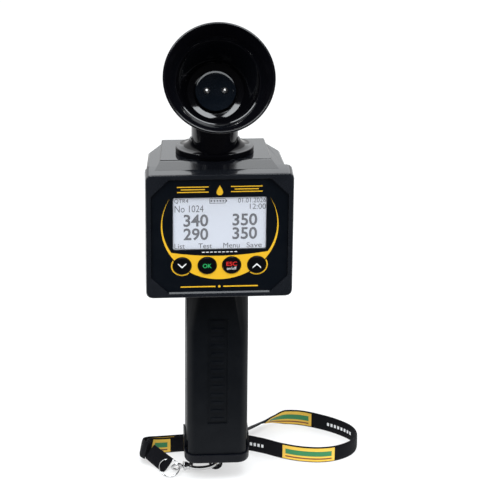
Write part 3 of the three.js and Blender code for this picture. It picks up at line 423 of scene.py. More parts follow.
def place_piece(name, bm, finish, body, smooth=35.0):
    """Turns a closed bmesh in millimetres into a named piece in metres that rides on a body."""
    bmesh.ops.scale(bm, vec=(MM, MM, MM), verts=bm.verts)
    mesh = bpy.data.meshes.new(name)
    bm.to_mesh(mesh)
    bm.free()
    piece = bpy.data.objects.new(name, mesh)
    bpy.context.scene.collection.objects.link(piece)
    mesh.materials.append(finish_of(finish))
    if smooth:
        mesh.shade_smooth()
        mesh.set_sharp_from_angle(angle=math.radians(smooth))
    if body:
        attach(piece, body)
    return piece


def spread(start, end, steps):
    """Evenly spaced values from start to end."""
    return [start + (end - start) * k / steps for k in range(steps + 1)]


def arc(centre, start, end, radius, steps):
    """Points on an arc about its centre, from one angle to another."""
    x, y = centre
    return [(x + radius * math.cos(a), y + radius * math.sin(a)) for a in spread(start, end, steps)]


def circle(centre, radius, steps=48):
    """Points on a whole circle."""
    return arc(centre, 0, FULL_TURN, radius, steps)[:-1]


def round_ring(radius, sides=16, flat=1.0):
    """A round or flattened section for a sweep."""
    return [(x, flat * y) for x, y in circle((0, 0), radius, sides)]


def bezier(a, b, c, steps):
    """Points of a quadratic curve from a to c, drawn towards b."""
    corners = list(zip(a, b, c))
    shares = spread(0, 1, steps)
    return [tuple((1 - t) ** 2 * p + 2 * t * (1 - t) * q + t * t * r for p, q, r in corners) for t in shares]


def bar(x, z, width, height):
    """A bar as an outline about its centre."""
    left, right, low, high = x - width / 2, x + width / 2, z - height / 2, z + height / 2
    return [(left, low), (right, low), (right, high), (left, high)]


def outward(bm):
    """Turns all faces of a closed bmesh outwards."""
    bmesh.ops.recalc_face_normals(bm, faces=bm.faces)
    return bm


def shifted(bm, matrix):
    """Moves a whole bmesh by a matrix."""
    bmesh.ops.transform(bm, matrix=matrix, verts=bm.verts)
    return bm


def merged(*parts):
    """Several bmeshes in one."""
    whole = bmesh.new()
    for part in parts:
        mesh = bpy.data.meshes.new("part")
        part.to_mesh(mesh)
        part.free()
        whole.from_mesh(mesh)
        bpy.data.meshes.remove(mesh)
    return whole


def turned(profile, steps=96, cap=True):
    """A profile of (radius, height) pairs turned about the Z axis into a closed shell."""
    bm = bmesh.new()
    points = [bm.verts.new((radius, 0, height)) for radius, height in profile]
    for a, b in zip(points, points[1:]):
        bm.edges.new((a, b))
    if not cap:
        bm.edges.new((points[-1], points[0]))
    whole = bm.verts[:] + bm.edges[:]
    about = {"cent": (0, 0, 0), "axis": (0, 0, 1), "angle": FULL_TURN}
    bmesh.ops.spin(bm, geom=whole, steps=steps, use_merge=True, **about)
    bmesh.ops.remove_doubles(bm, verts=bm.verts, dist=0.001)
    return outward(bm)


def skinned(bm, rows, closed=False):
    """Faces round and between rows of vertices, with a cap at both ends unless the rows close."""
    for here, there in zip(rows, rows[1:] + rows[:1] if closed else rows[1:]):
        for j in range(len(here)):
            bm.faces.new((here[j], here[j - 1], there[j - 1], there[j]))
    if not closed:
        bm.faces.new(rows[0])
        bm.faces.new(rows[-1][::-1])
    return outward(bm)


def swept(points, ring, closed=False):
    """A skin over a ring of (side, up) offsets, or one ring for each point, set square to a path."""
    bm = bmesh.new()
    count = len(points)
    rows = []
    for k, point in enumerate(points):
        before = points[(k - 1) % count] if closed or k else point
        after = points[(k + 1) % count] if closed or k < count - 1 else point
        ahead = (after - before).normalized()
        up = Vector((0, 0, 1))
        up = (up - ahead * up.dot(ahead)).normalized()
        side = ahead.cross(up)
        outline = ring[k] if isinstance(ring[0], list) else ring
        rows.append([bm.verts.new(point + side * s + up * u) for s, u in outline])
    return skinned(bm, rows, closed)


def beam(section, middle, reach):
    """A closed bar along x with a section of (y, z) places and its half length given for each y."""
    bm = bmesh.new()
    rows = [[bm.verts.new((middle + side * reach(y), y, z)) for y, z in section] for side in (-1, 1)]
    return skinned(bm, rows)


def thickened(bm, thickness):
    """Closes flat faces that look to -Y into a solid."""
    made = bmesh.ops.extrude_face_region(bm, geom=bm.faces[:])
    corners = [v for v in made["geom"] if isinstance(v, bmesh.types.BMVert)]
    bmesh.ops.translate(bm, vec=(0, thickness, 0), verts=corners)
    return outward(bm)


def print_shape(outlines, inside, front, thickness):
    """A flat shape cut from several outlines by a test on its triangles, as ink that faces -Y."""
    places, edges = [], []
    for loop in outlines:
        first = len(places)
        places += [Vector(p) for p in loop]
        edges += [(first + k, first + (k + 1) % len(loop)) for k in range(len(loop))]
    flat, _, faces, *_ = geometry.delaunay_2d_cdt(places, edges, [], 1, 1e-4)
    bm = bmesh.new()
    corners = [bm.verts.new((p.x, front, p.y)) for p in flat]
    for face in faces:
        middle = sum((flat[k] for k in face), Vector((0, 0))) / len(face)
        if inside(middle):
            bm.faces.new([corners[k] for k in face])
    bmesh.ops.delete(bm, geom=[v for v in bm.verts if not v.link_faces], context="VERTS")
    return thickened(bm, thickness)


def inked(outlines, front, thickness):
    """Separate flat outlines as ink on a plane that faces -Y."""
    bm = bmesh.new()
    for outline in outlines:
        bm.faces.new([bm.verts.new((x, front, z)) for x, z in outline])
    return thickened(bm, thickness)


def lettering(text, box, front, thickness, weight=0.0):
    """Plain lettering fitted to a box of (left, right, low, high), as ink that faces -Y."""
    left, right, low, high = box
    curve = bpy.data.curves.new("lettering", "FONT")
    curve.body = text
    curve.offset = weight
    curve.extrude = 0.5
    curve.resolution_u = 4
    holder = bpy.data.objects.new("lettering", curve)
    bpy.context.scene.collection.objects.link(holder)
    bpy.context.view_layer.update()
    mesh = bpy.data.meshes.new_from_object(holder.evaluated_get(bpy.context.evaluated_depsgraph_get()))
    bpy.data.objects.remove(holder)
    bm = bmesh.new()
    bm.from_mesh(mesh)
    bpy.data.meshes.remove(mesh)
    bmesh.ops.remove_doubles(bm, verts=bm.verts, dist=1e-5)
    outward(bm)
    spots = [v.co for v in bm.verts]
    start = Vector([min(p[k] for p in spots) for k in range(3)])
    size = Vector([max(p[k] for p in spots) for k in range(3)]) - start
    fit = Matrix.Diagonal(((right - left) / size.x, (high - low) / size.y, thickness / size.z, 1))
    upright = Matrix.Translation((left, front, low)) @ Matrix.Rotation(QUARTER, 4, "X")
    return shifted(bm, upright @ fit @ Matrix.Translation(-start))


def dress_node(node, finish, bevel=0.0, angle=38.0):
    """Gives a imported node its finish, smooth faces and soft edges by modifiers."""
    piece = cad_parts[node]
    piece.data.materials.clear()
    piece.data.materials.append(finish_of(finish))
    piece.modifiers.new("weld", "WELD").merge_threshold = 0.002 * MM
    if bevel:
        edge = piece.modifiers.new("edge", "BEVEL")
        edge.width = bevel * MM
        edge.segments = 3
        edge.limit_method = "ANGLE"
        edge.angle_limit = math.radians(angle)
    piece.modifiers.new("shade", "WEIGHTED_NORMAL").keep_sharp = True
    for face in piece.data.polygons:
        face.use_smooth = True


# Operators

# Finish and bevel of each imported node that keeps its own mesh
SOFT_EDGES = {
    "head_front_bezel": ("face_black", 0.35),
    "label_film": ("film_black", 0.05),
    "head_rear_shell": ("gloss_black", 0.45),
    "grip_shell": ("grip_black", 0.3),
    "end_cap": ("cap_black", 0.35),
    "head_gasket": ("rubber", 0.0),
    "cap_seal": ("rubber", 0.0),
    "neck_seal": ("rubber", 0.0),
    "neck_nut": ("face_black", 0.2),
    "main_board": ("board", 0.0),
    "battery": ("battery", 0.4),
    "battery_snap": ("black_wire", 0.3),
    "battery_lead_red": ("red_wire", 0.0),
    "battery_lead_black": ("black_wire", 0.0),
    "sensor_lead_left": ("black_wire", 0.0),
    "sensor_lead_right": ("red_wire", 0.0),
    **{f"housing_screw_{number}": ("screw_steel", 0.15) for number in range(1, 5)},
    **{name.replace("key", "switch"): ("screw_steel", 0.1) for name in KEY_NAMES},
}


class BuildHousing(bpy.types.Operator):
    """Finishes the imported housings, seals, screws and inner parts"""

    bl_idname = "detector.build_housing"
    bl_label = "Build housing"

    def execute(self, context):
        for node, (finish, bevel) in SOFT_EDGES.items():
            dress_node(node, finish, bevel, angle=32.0)
        self.apron()
        self.sill()
        return {"FINISHED"}

    def apron(self):
        """The sweep that leads from the plateau's front edge down onto the bezel's top."""
        top, foot = PLATEAU_TOP - 0.25, FACE_HIGH.z + 0.04
        back, front = FACE_HIGH.y + 3.0, FACE_HIGH.y - 5.6
        back_reach, front_reach = 29.9, 33.3
        section = [(back, top)]
        section += bezier((back - 0.9, top), (back - 2.2, top - 0.3), (front, foot), 12)[1:]
        section += [(front, foot - 0.02), (back, foot - 0.02)]

        def reach(y):
            return back_reach + (front_reach - back_reach) * (back - y) / (back - front)

        sweep = beam(section, NECK_X, reach)
        place_piece("plateau_apron", sweep, "sweep_black", "detector", smooth=50)

    def sill(self):
        """The bevelled lower edge of the label's recess."""
        foot, rise, half_length = FILM_LOW.z - 0.2, 0.75, 27.4
        back, front = FILM_LOW.y - 0.03, FACE_LOW.y
        section = [(back, foot - 0.1), (back, foot + rise), (front + 0.68, foot + rise)]
        section += [(front, foot), (front, foot - 0.1)]
        edge = beam(section, 0.0, lambda y: half_length)
        place_piece("recess_sill", edge, "sill_black", "detector", smooth=0)


BOLD, PLAIN = 0.022, 0.0
# Each word with its left, right, upper and lower place on the display, and its weight
DISPLAY_WORDS = (
    ("340", 5.6, 19.0, 9.9, 17.2, BOLD),
    ("350", 32.1, 45.5, 9.8, 17.0, BOLD),
    ("290", 5.6, 19.0, 18.1, 25.3, BOLD),
    ("350", 32.1, 45.5, 17.9, 25.1, BOLD),
    ("QTR4", 0.6, 8.2, 0.7, 3.5, PLAIN),
    ("No 1024", 0.8, 16.4, 4.5, 8.6, PLAIN),
    ("01.01.2026", 35.0, 50.1, 0.6, 3.4, PLAIN),
    ("12:00", 41.4, 50.1, 4.1, 7.3, PLAIN),
    ("List", 0.7, 6.3, 27.2, 30.2, PLAIN),
    ("Test", 13.7, 21.0, 27.2, 30.2, PLAIN),
    ("Menu", 27.2, 36.1, 27.1, 30.1, PLAIN),
    ("Save", 39.8, 48.1, 27.1, 30.1, PLAIN),
)


class BuildDisplay(bpy.types.Operator):
    """Builds the display: a pane over a pale ground with plain figures"""

    bl_idname = "detector.build_display"
    bl_label = "Build display"

    def execute(self, context):
        dress_node("display_module", "display")
        pane_thickness, gap, inset = 0.5, 0.2, 0.05
        pane_back = WINDOW_LOW.y + pane_thickness
        ground_front = pane_back + gap
        glass = self.slab(WINDOW_LOW.y, pane_back, 0)
        pane = place_piece("window_pane", glass, "pane", "detector")
        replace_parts(pane, "display_window")
        ground = self.slab(ground_front, WINDOW_HIGH.y, inset)
        place_piece("display_ground", ground, "display", "detector")
        self.figures(ground_front)
        return {"FINISHED"}

    def slab(self, front, back, inset):
        """A block of the window's outline, less an inset, with round corners."""
        low, high = WINDOW_LOW, WINDOW_HIGH
        place = Matrix.Translation(((low.x + high.x) / 2, (front + back) / 2, (low.z + high.z) / 2))
        size = (high.x - low.x - 2 * inset, back - front, high.z - low.z - 2 * inset)
        bm = bmesh.new()
        bmesh.ops.create_cube(bm, size=1)
        shifted(bm, place @ Matrix.Diagonal((*size, 1)))
        corners = [e for e in bm.edges if abs(e.verts[0].co.y - e.verts[1].co.y) > 0.001]
        shape = {"offset": 0.8, "offset_type": "OFFSET", "segments": 5, "profile": 0.5}
        bmesh.ops.bevel(bm, geom=corners, affect="EDGES", material=-1, **shape)
        return bm

    def figures(self, front):
        """Plain readings, the header line, the battery sign and the footer words."""
        thick = 0.04
        left, top = WINDOW_LOW.x, WINDOW_HIGH.z
        parts = []
        for text, start, end, rise, fall, weight in DISPLAY_WORDS:
            box = (left + start, left + end, top - fall, top - rise)
            parts.append(lettering(text, box, front, thick, weight))
        x, z, width, height, line = left + 23.9, top - 2.1, 8.6, 3.0, 0.36
        tip = x + width / 2
        sign = [
            bar(x, z + height / 2 - line / 2, width, line),
            bar(x, z - height / 2 + line / 2, width, line),
            bar(x - width / 2 + line / 2, z, line, height - 2 * line),
            [(tip, z - height * 0.4), (tip + 1.1, z), (tip, z + height * 0.4)],
        ]
        sign += [bar(x + k * 1.6, z, 1.0, 1.0) for k in range(-2, 3)]
        parts.append(inked(sign, front - thick, thick))
        place_piece("display_figures", merged(*parts), "digit_ink", "detector", smooth=0)


class BuildLabel(bpy.types.Operator):
    """Prints the gold crescent, rules and drop on the label"""

    bl_idname = "detector.build_label"
    bl_label = "Build label"

    def execute(self, context):
        sizes = ("print_thickness", "crescent_radius", "crescent_drop")
        thick, outer, drop = lengths(context.scene.detector_label, *sizes)
        front, top = FILM_LOW.y - thick, FACE_HIGH.z
        rules_z, dashes_z, foot_z, pitch = top - 9.0, top - 46.2, top - 67.0, 2.2
        dashes = [bar(k * pitch, dashes_z, 1.5, 0.45) for k in range(-4, 5)]
        prints = {
            "label_crescent": (self.crescent(outer, drop, front, thick), "gold_ink"),
            "label_rules": (inked(self.rules(rules_z, foot_z), front, thick), "gold_ink"),
            "label_dashes": (inked(dashes, front, thick), "white_ink"),
        }
        for name, (bm, finish) in prints.items():
            place_piece(name, bm, finish, "detector", smooth=0)
        return {"FINISHED"}

    def crescent(self, outer, drop, front, thick):
        """A band between two circles, filled up below a sagging line, with the keys' holes and rings."""
        outer_centre = Vector((0.1, FACE_HIGH.z - drop))
        inner_centre, inner = outer_centre + Vector((0, 1.33)), outer - 0.67
        sag_radius, sag_reach = 154, math.radians(13)
        sag_centre = Vector((0, FACE_HIGH.z - 48.5 + sag_radius))
        keys = [Vector((x, KEY_Z)) for x in KEY_X.values()]
        hole, ring, gap = 5.32, 6.0, 0.7

        def gold(p):
            if any((p - key).length < hole for key in keys):
                return False
            band = (p - outer_centre).length < outer
            hollow = (p - inner_centre).length < inner and (p - sag_centre).length < sag_radius
            round_key = any((p - key).length < ring for key in (keys[0], keys[-1]))
            apart = (p - outer_centre).length > outer + gap
            return (band and not hollow) or (round_key and apart)

        loops = [circle(outer_centre, outer, 180), circle(inner_centre, inner, 180)]
        loops.append(circle(outer_centre, outer + gap, 180))
        sag = arc(sag_centre, -QUARTER - sag_reach, -QUARTER + sag_reach, sag_radius, 40)
        loops.append(sag + [(sag[-1][0], FACE_HIGH.z), (sag[0][0], FACE_HIGH.z)])
        loops += [circle(key, hole) for key in keys] + [circle(key, ring) for key in (keys[0], keys[-1])]
        return print_shape(loops, gold, front, thick)

    def rules(self, z, foot_z):
        """Plain bars on both sides of a drop, and two rules on both sides of a dot below."""
        out, pitch, line = 14.5, 1.5, 0.55
        foot_out, foot_line = 11.6, 0.7
        found = [bar(side * out, z + k * pitch, 17, line) for side in (-1, 1) for k in (-1, 1)]
        found += [bar(side * out, z, 13, line) for side in (-1, 1)]
        found += [bar(side * foot_out, foot_z, 19, foot_line) for side in (-1, 1)]
        found.append(circle((0, foot_z), foot_line, 24))
        half_width, half_height, point, middle = 2.5, 3.0, 1.6, z - 0.5
        drop = []
        for a in spread(0, FULL_TURN, 40)[:-1]:
            across = half_width * math.sin(a) * math.sin(a / 2) ** point
            drop.append((across, middle + half_height * math.cos(a)))
        return [*found, drop]


class BuildKeys(bpy.types.Operator):
    """Builds the four round keys and their plain legends"""

    bl_idname = "detector.build_keys"
    bl_label = "Build keys"

    def execute(self, context):
        radius, edge, flange, flange_thickness, stem = 5.0, 0.55, 5.9, 0.9, 1.7
        face, back, step = -KEY_LOW.y, -KEY_HIGH.y, -WINDOW_HIGH.y - 0.3
        profile = [(0, back), (stem, back), (stem, back + 0.2)]
        profile += [(flange, step - flange_thickness), (flange, step), (radius, step)]
        profile += arc((radius - edge, face - edge), 0, QUARTER, edge, 6)
        profile += [(2.6, face - 0.02), (0, face - 0.1)]
        turn = Matrix.Rotation(QUARTER, 4, "X")
        for name, x in KEY_X.items():
            bm = shifted(turned(profile, 72), Matrix.Translation((x, 0, KEY_Z)) @ turn)
            cap = place_piece(f"{name}_cap", bm, "key_black", name)
            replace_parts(cap, name)
            self.legend(name, x, KEY_LOW.y + 0.02)
        return {"FINISHED"}

    def legend(self, name, x, face):
        """An arrow or a word on a key."""
        thick, bold = 0.05, 0.015

        def printed(part, bm, finish):
            place_piece(f"{name}_{part}", bm, finish, name, smooth=0)

        def word(text, half, low, high, weight):
            box = (x - half, x + half, KEY_Z + low, KEY_Z + high)
            return lettering(text, box, face, thick, weight)

        if name == "key_ok":
            printed("word", word("OK", 2.4, -1.3, 1.3, bold), "green_ink")
        elif name == "key_esc":
            printed("word", word("ESC", 2.9, -0.2, 2.3, bold), "red_ink")
            printed("note", word("on/off", 2.6, -2.5, -0.8, 0.0), "white_ink")
        else:
            tip = 1 if name == "key_up" else -1
            reach, rise, line = 2.3, 1.15, 0.78
            arrow = [(-reach, -rise), (0, rise), (reach, -rise)]
            arrow += [(reach, -rise - line), (0, rise - line * 1.3), (-reach, -rise - line)]
            arrow = [(x + across, KEY_Z + tip * up) for across, up in arrow]
            printed("arrow", inked([arrow], face - thick, thick), "white_ink")


class BuildCup(bpy.types.Operator):
    """Builds the milk cup, its neck and flange, the plug and the electrodes"""

    bl_idname = "detector.build_cup"
    bl_label = "Build cup"

    def execute(self, context):
        cup = context.scene.detector_cup
        sizes = ("rim_radius", "wall", "neck_radius", "elbow_height", "plug_radius")
        rim_radius, wall, neck_radius, elbow_height, plug_radius = lengths(cup, *sizes)
        elbow = Matrix.Translation((NECK_X, 0, elbow_height))
        lean = elbow @ Matrix.Rotation(cup.lean, 4, "X")
        floor, base_thickness, overlap = 5.6, 4, 0.6
        back = floor - base_thickness
        bowl = self.bowl(floor, back, rim_radius, wall, neck_radius, plug_radius)
        bowl = shifted(turned(bowl, 144), lean)
        cut_height = back + overlap
        neck = shifted(turned(self.neck(elbow_height, neck_radius), 96), elbow)
        axis = (lean.to_3x3() @ Vector((0, 0, 1))).normalized()
        whole = neck.verts[:] + neck.edges[:] + neck.faces[:]
        plane = {"plane_co": lean @ Vector((0, 0, cut_height)), "plane_no": axis}
        found = bmesh.ops.bisect_plane(neck, geom=whole, clear_outer=True, **plane)
        cut_edges = [e for e in found["geom_cut"] if isinstance(e, bmesh.types.BMEdge)]
        bmesh.ops.edgenet_fill(neck, edges=cut_edges)
        ball = arc((0, 0), -QUARTER, 0, neck_radius, 12)[1:]
        collar = [(0, -neck_radius), *ball, (neck_radius, cut_height), (0, cut_height)]
        collar = shifted(turned(collar, 96), lean)
        cast = merged(bowl, outward(neck), collar)
        piece = place_piece("milk_cup", cast, "cup_black", "detector", smooth=28)
        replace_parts(piece, "sensor_cup")
        self.plug(cup, lean, floor)
        self.flange(neck_radius)
        return {"FINISHED"}

    def bowl(self, floor, back, rim_radius, wall, neck_radius, plug_radius):
        """The bowl's profile: the well and the funnel's foot, the bowl, the lip and the round rim."""
        foot, shoulder, rim = 10.6, 33.1, 46.6
        foot_radius, shoulder_radius, step = 15.6, 22.6, 0.5
        mouth = rim_radius - wall / 2
        middle = (shoulder_radius + wall, (shoulder + rim) / 2)
        lip = bezier((shoulder_radius, shoulder), middle, (mouth, rim), 20)
        middle = (shoulder_radius - wall, (shoulder + foot) / 2)
        bowl = bezier((foot_radius, foot), middle, (shoulder_radius - step, shoulder - 0.15), 22)
        cone_radius, cone_top = foot_radius - 0.5, floor + 1.2
        well = bezier((cone_radius, cone_top), (foot_radius, cone_top + 0.3), (foot_radius, foot), 8)
        inside = [(0, floor), (plug_radius + 0.3, floor), *well[:-1], *bowl, *lip[:-1]]
        outside = [(r + wall, h - wall / 2) for r, h in [*bowl, *lip[:-2]]]
        outside = [(r, h) for r, h in outside if r < rim_radius - 0.3]
        round_rim = 0.75
        edge = arc((rim_radius - round_rim, rim - round_rim), 0, math.pi * 0.8, round_rim, 9)
        return [*inside, *edge[::-1], *outside[::-1], (neck_radius, back), (0, back)]

    def neck(self, elbow_height, radius):
        """The neck's profile: the tail in the housing, the seal's groove and the round elbow."""
        low, tail_low, tail_radius, play = FLANGE_LOW.z - elbow_height, CUP_LOW.z - elbow_height, 9.8, 0.2
        groove_top = SEAL_HIGH.z + play - elbow_height
        groove_out = (SEAL_HIGH.x - SEAL_LOW.x) / 2 + play
        profile = [(0, tail_low), (tail_radius, tail_low), (tail_radius, groove_top)]
        profile += [(groove_out, groove_top), (groove_out, low), (radius, low), (radius, 0)]
        return profile + arc((0, 0), 0, QUARTER, radius, 12)[1:-1] + [(0, radius)]

    def plug(self, cup, lean, floor):
        """The plug in the cup's floor, with a shallow pan, and the two domed electrodes."""
        radius, pitch, dome = lengths(cup, "plug_radius", "electrode_pitch", "electrode_radius")
        face, foot, edge, pan = floor + 2.6, floor + 0.1, 0.35, 0.12
        profile = [(0, foot), (radius, foot)]
        profile += arc((radius - edge, face - edge), 0, QUARTER, edge, 6)
        profile += [(radius - 1.6, face), (radius - 1.75, face - pan), (0, face - pan)]
        disc = shifted(turned(profile, 96), lean)
        plug = place_piece("plug_disc", disc, "plug_black", "detector")
        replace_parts(plug, "electrode_plug")
        seat, low, stem, rise = face - 0.02, face - 1.52, dome * 0.6, 0.93
        outline = [(0, low), (stem, low), (stem, seat), (dome, seat)]
        outline += [(r, seat + 0.1 + rise * h) for r, h in arc((0, 0), 0, QUARTER, dome, 10)[:-1]]
        outline.append((0, seat + 0.1 + rise * dome))
        for name, side in (("electrode_left", -1), ("electrode_right", 1)):
            bm = shifted(turned(outline, 40), lean @ Matrix.Translation((side * pitch / 2, 0, 0)))
            pin = place_piece(f"{name}_dome", bm, "steel", "detector")
            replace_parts(pin, name)

    def flange(self, neck_radius):
        """An oval plate whose lobes flare up to the neck at the left and right."""
        low, high = FLANGE_LOW.z, FLANGE_HIGH.z
        outer = (FLANGE_HIGH.x - FLANGE_LOW.x) / 2
        flat = (FLANGE_HIGH.y - FLANGE_LOW.y) / (FLANGE_HIGH.x - FLANGE_LOW.x)
        bore, lip, chamfer, edge_top = neck_radius + 0.25, 0.9, 0.45, low + 2.6
        corner = arc((outer - lip * 0.75, edge_top), 0, QUARTER, lip * 0.75, 5)
        flare = bezier(corner[-1], (bore + 2.2, edge_top + lip), (bore + 0.8, high), 24)

        def height(radius):
            for (r, h), (s, g) in zip(flare, flare[1:]):
                if s <= radius <= r:
                    return h + (g - h) * (r - radius) / (r - s)
            return high

        bm = bmesh.new()
        rows = []
        for ray in circle((0, 0), 1, 144):
            stretch = math.hypot(ray[0], ray[1] / flat)
            radii = spread(corner[-1][0], bore * stretch, 20)[1:]
            section = [(bore * stretch, low), (outer - chamfer, low), (outer, low + chamfer), *corner]
            section += [(radius, height(radius)) for radius in radii]
            x, y = ray[0] / stretch, ray[1] / stretch
            rows.append([bm.verts.new((NECK_X + x * r, y * r, h)) for r, h in section])
        skinned(bm, rows, closed=True)
        ring = place_piece("flared_flange", bm, "cup_black", "detector")
        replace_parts(ring, "neck_flange")


# The clasp is made flat about the Z axis, and CLAW_PLACE then puts it under the end cap
CLAW_TURN = Matrix.Rotation(math.radians(10), 4, "Z") @ Matrix.Rotation(math.radians(-1), 4, "Y")
CLAW_PLACE = Matrix.Translation((0, 0, -66.3)) @ CLAW_TURN
ALONG_X = Matrix.Rotation(QUARTER, 4, "Y")
KNUCKLE = Matrix.Translation((-13.2, 4.5, 0))
OVAL_MIDDLE, OVAL_HALF_LENGTH, OVAL_HALF_WIDTH = -8.0, 8.0, 5.0
GATE_START, GATE_END = math.radians(72), math.radians(133)


def clasp_oval(start, end, steps):
    """Places along the middle line of the claw and its gate, between two angles."""
    path = []
    for angle in spread(start, end, steps):
        x, y = OVAL_HALF_LENGTH * math.cos(angle), OVAL_HALF_WIDTH * math.sin(angle)
        path.append(Vector((OVAL_MIDDLE + x, y, 0)))
    return path


def washer(inner, outer, low, high):
    """A short tube about the Z axis."""
    return turned([(inner, low), (outer, low), (outer, high), (inner, high)], 40, cap=False)


class BuildClasp(bpy.types.Operator):
    """Builds the clasp: claw, gate, pin, barrel, swivel eye and split ring"""

    bl_idname = "detector.build_clasp"
    bl_label = "Build clasp"

    def execute(self, context):
        cheek_thickness = 0.6
        cheeks = [washer(0.6, 1.85, low, low + cheek_thickness) for low in (-1.35, 0.75)]
        cheeks = [shifted(cheek, KNUCKLE) for cheek in cheeks]
        cast = shifted(merged(self.claw(), self.barrel(), *cheeks), CLAW_PLACE)
        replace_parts(place_piece("claw_casting", cast, "chrome", "clasp"), "clasp_claw")

        profile = [(0, -1.55), (0.75, -1.5), (0.95, -1.38), (0.5, -1.3)]
        profile += [(r, -h) for r, h in profile[::-1]]
        pin = shifted(turned(profile, 32), CLAW_PLACE @ KNUCKLE)
        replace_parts(place_piece("gate_rivet", pin, "chrome", "clasp"), "clasp_pin")

        gate = swept(clasp_oval(GATE_START + 0.02, GATE_END - 0.04, 30), round_ring(0.85, 16, 1.3))
        tang = shifted(washer(0.62, 1.6, -0.5, 0.5), KNUCKLE)
        thumb = turned([(0, -1.1), (0.8, -1.1), (1.0, -0.9), (1.0, 0.9), (0.8, 1.1), (0, 1.1)], 32)
        shifted(thumb, Matrix.Translation((-8.2, 5.7, 0)))
        lever = shifted(merged(gate, tang, thumb), CLAW_PLACE)
        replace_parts(place_piece("gate_lever", lever, "chrome", "gate"), "clasp_gate")
        self.swivel()
        return {"FINISHED"}

    def claw(self):
        """The claw's bar, which narrows over its last steps to the tip under the gate."""
        steps, tip_steps, tip_share = 90, 14, 0.55
        path = clasp_oval(GATE_END - FULL_TURN + 0.14, GATE_START - 0.06, steps)
        shares = [tip_share + (1 - tip_share) * (steps - k) / tip_steps for k in range(steps + 1)]
        section = round_ring(1.0, 20, 1.25)
        return swept(path, [[(s * min(1, share), u * min(1, share)) for s, u in section] for share in shares])

    def barrel(self):
        """The claw's barrel, which holds the swivel's shank."""
        left, right, radius, bore, round_end = -19.2, -14.8, 2.7, 1.45, 0.5
        profile = [(bore, left), (radius - round_end, left)]
        profile += arc((radius - round_end, left + round_end), -QUARTER, 0, round_end, 5)[1:]
        profile += [(radius, left + 1.2), (radius - 0.35, left + 1.5), (radius - 0.35, right - 1.3)]
        profile += [(radius - 0.1, right - 0.9), (radius - round_end, right), (bore, right)]
        return shifted(turned(profile, 64, cap=False), ALONG_X)

    def swivel(self):
        """The eye with its shank, and the split ring that hangs in it."""
        eye_centre, eye_radius, eye_wire, roll = -22.95, 2.7, 0.75, math.radians(28)
        path = [Vector((x, y, 0)) for x, y in circle((eye_centre, 0), eye_radius, 64)]
        eye = swept(path, round_ring(eye_wire, 16), closed=True)
        start, head, shank_radius, head_radius = eye_centre + eye_radius, -14.5, 1.15, 1.85
        profile = [(0, start), (shank_radius, start), (shank_radius, -19.6), (shank_radius, head)]
        profile += [(head_radius, head), (head_radius, head + 0.7), (0, head + 0.9)]
        shank = shifted(turned(profile, 40), ALONG_X)
        cast = shifted(merged(eye, shank), CLAW_PLACE @ Matrix.Rotation(QUARTER + roll, 4, "X"))
        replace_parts(place_piece("eye_casting", cast, "chrome", "swivel"), "swivel_eye")

        radius, gap, turns, first_angle, steps = 5.7, 0.65, 1.94, 0.9, 150
        pitch, climb_start, climb_length = 0.62, 0.42, 0.16
        centre = start - eye_wire - gap - radius
        coil = []
        for share in spread(0, 1, steps):
            angle = FULL_TURN * turns * share + first_angle
            height = (min(1.0, max(0.0, (share - climb_start) / climb_length)) - 0.5) * pitch
            coil.append(Vector((centre + radius * math.cos(angle), radius * math.sin(angle), height)))
        half = ((-1, -0.7), (-0.6, -1), (0.6, -1), (1, -0.7))
        section = [(s * 0.34, u * 0.28) for s, u in (*half, *((-s, -u) for s, u in half))]
        ring = shifted(swept(coil, section), CLAW_PLACE @ Matrix.Rotation(roll, 4, "X"))
        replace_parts(place_piece("split_ring_coil", ring, "chrome", "swivel"), "split_ring")


# Places along the strap, with heights from the end cap's bottom, and its width's direction there
CAP_BOTTOM = -58.4
UPRIGHT = (0, 0, 1)
TAIL_ROUTE = [
    ((-27.3, -1.0, -9.3), (0.84, 0.05, 0.54)),
    ((-31.8, 1.9, -6.8), (0.72, 0.05, 0.69)),
    ((-37.7, 5.9, -3.4), (0.5, 0, 0.86)),
]
NEAR_AND_TURN = (
    (-30.0, 18.8), (-16.0, 20.3), (0.0, 20.9), (16.0, 20.6), (28.0, 15.8),
    (39.0, 9.4), (50.0, 5.0), (62.0, 3.4), (72.5, 5.8), (80.4, 11.8),
    (83.6, 19.4), (81.4, 27.6), (73.6, 36.0), (63.4, 42.8), (53.0, 47.6),
)
LOOP_ROUTE = [
    ((-38.0, 7.2, -2.9), (0.48, 0, 0.88)),
    ((-39.8, 10.1, -3.4), (0.3, 0, 0.95)),
    ((-39.4, 13.9, -4.6), (0.12, 0, 0.99)),
    ((-36.2, 17.1, -6.1), UPRIGHT),
    *(((x, y, -7.0), UPRIGHT) for x, y in NEAR_AND_TURN),
    ((43.8, 48.9, -7.0), (0, -0.1, 1)),
    ((36.8, 47.3, -7.0), (0, -0.6, 0.8)),
    ((30.4, 43.6, -7.0), (0, -0.85, 0.52)),
    ((25.4, 39.4, -7.0), (0, -0.9, 0.43)),
    ((20.0, 34.6, -7.0), (0, -0.9, 0.43)),
    ((12.5, 28.6, -7.0), (0, -0.7, 0.7)),
    ((2.0, 24.4, -7.0), (0, -0.2, 0.98)),
    ((-16.0, 22.6, -7.0), UPRIGHT),
    ((-31.0, 21.2, -7.0), UPRIGHT),
    ((-38.4, 18.9, -6.1), UPRIGHT),
    ((-42.0, 14.5, -4.6), (0.12, 0, 0.99)),
    ((-41.9, 9.5, -3.4), (0.3, 0, 0.95)),
    ((-39.6, 5.9, -2.9), (0.48, 0, 0.88)),
]


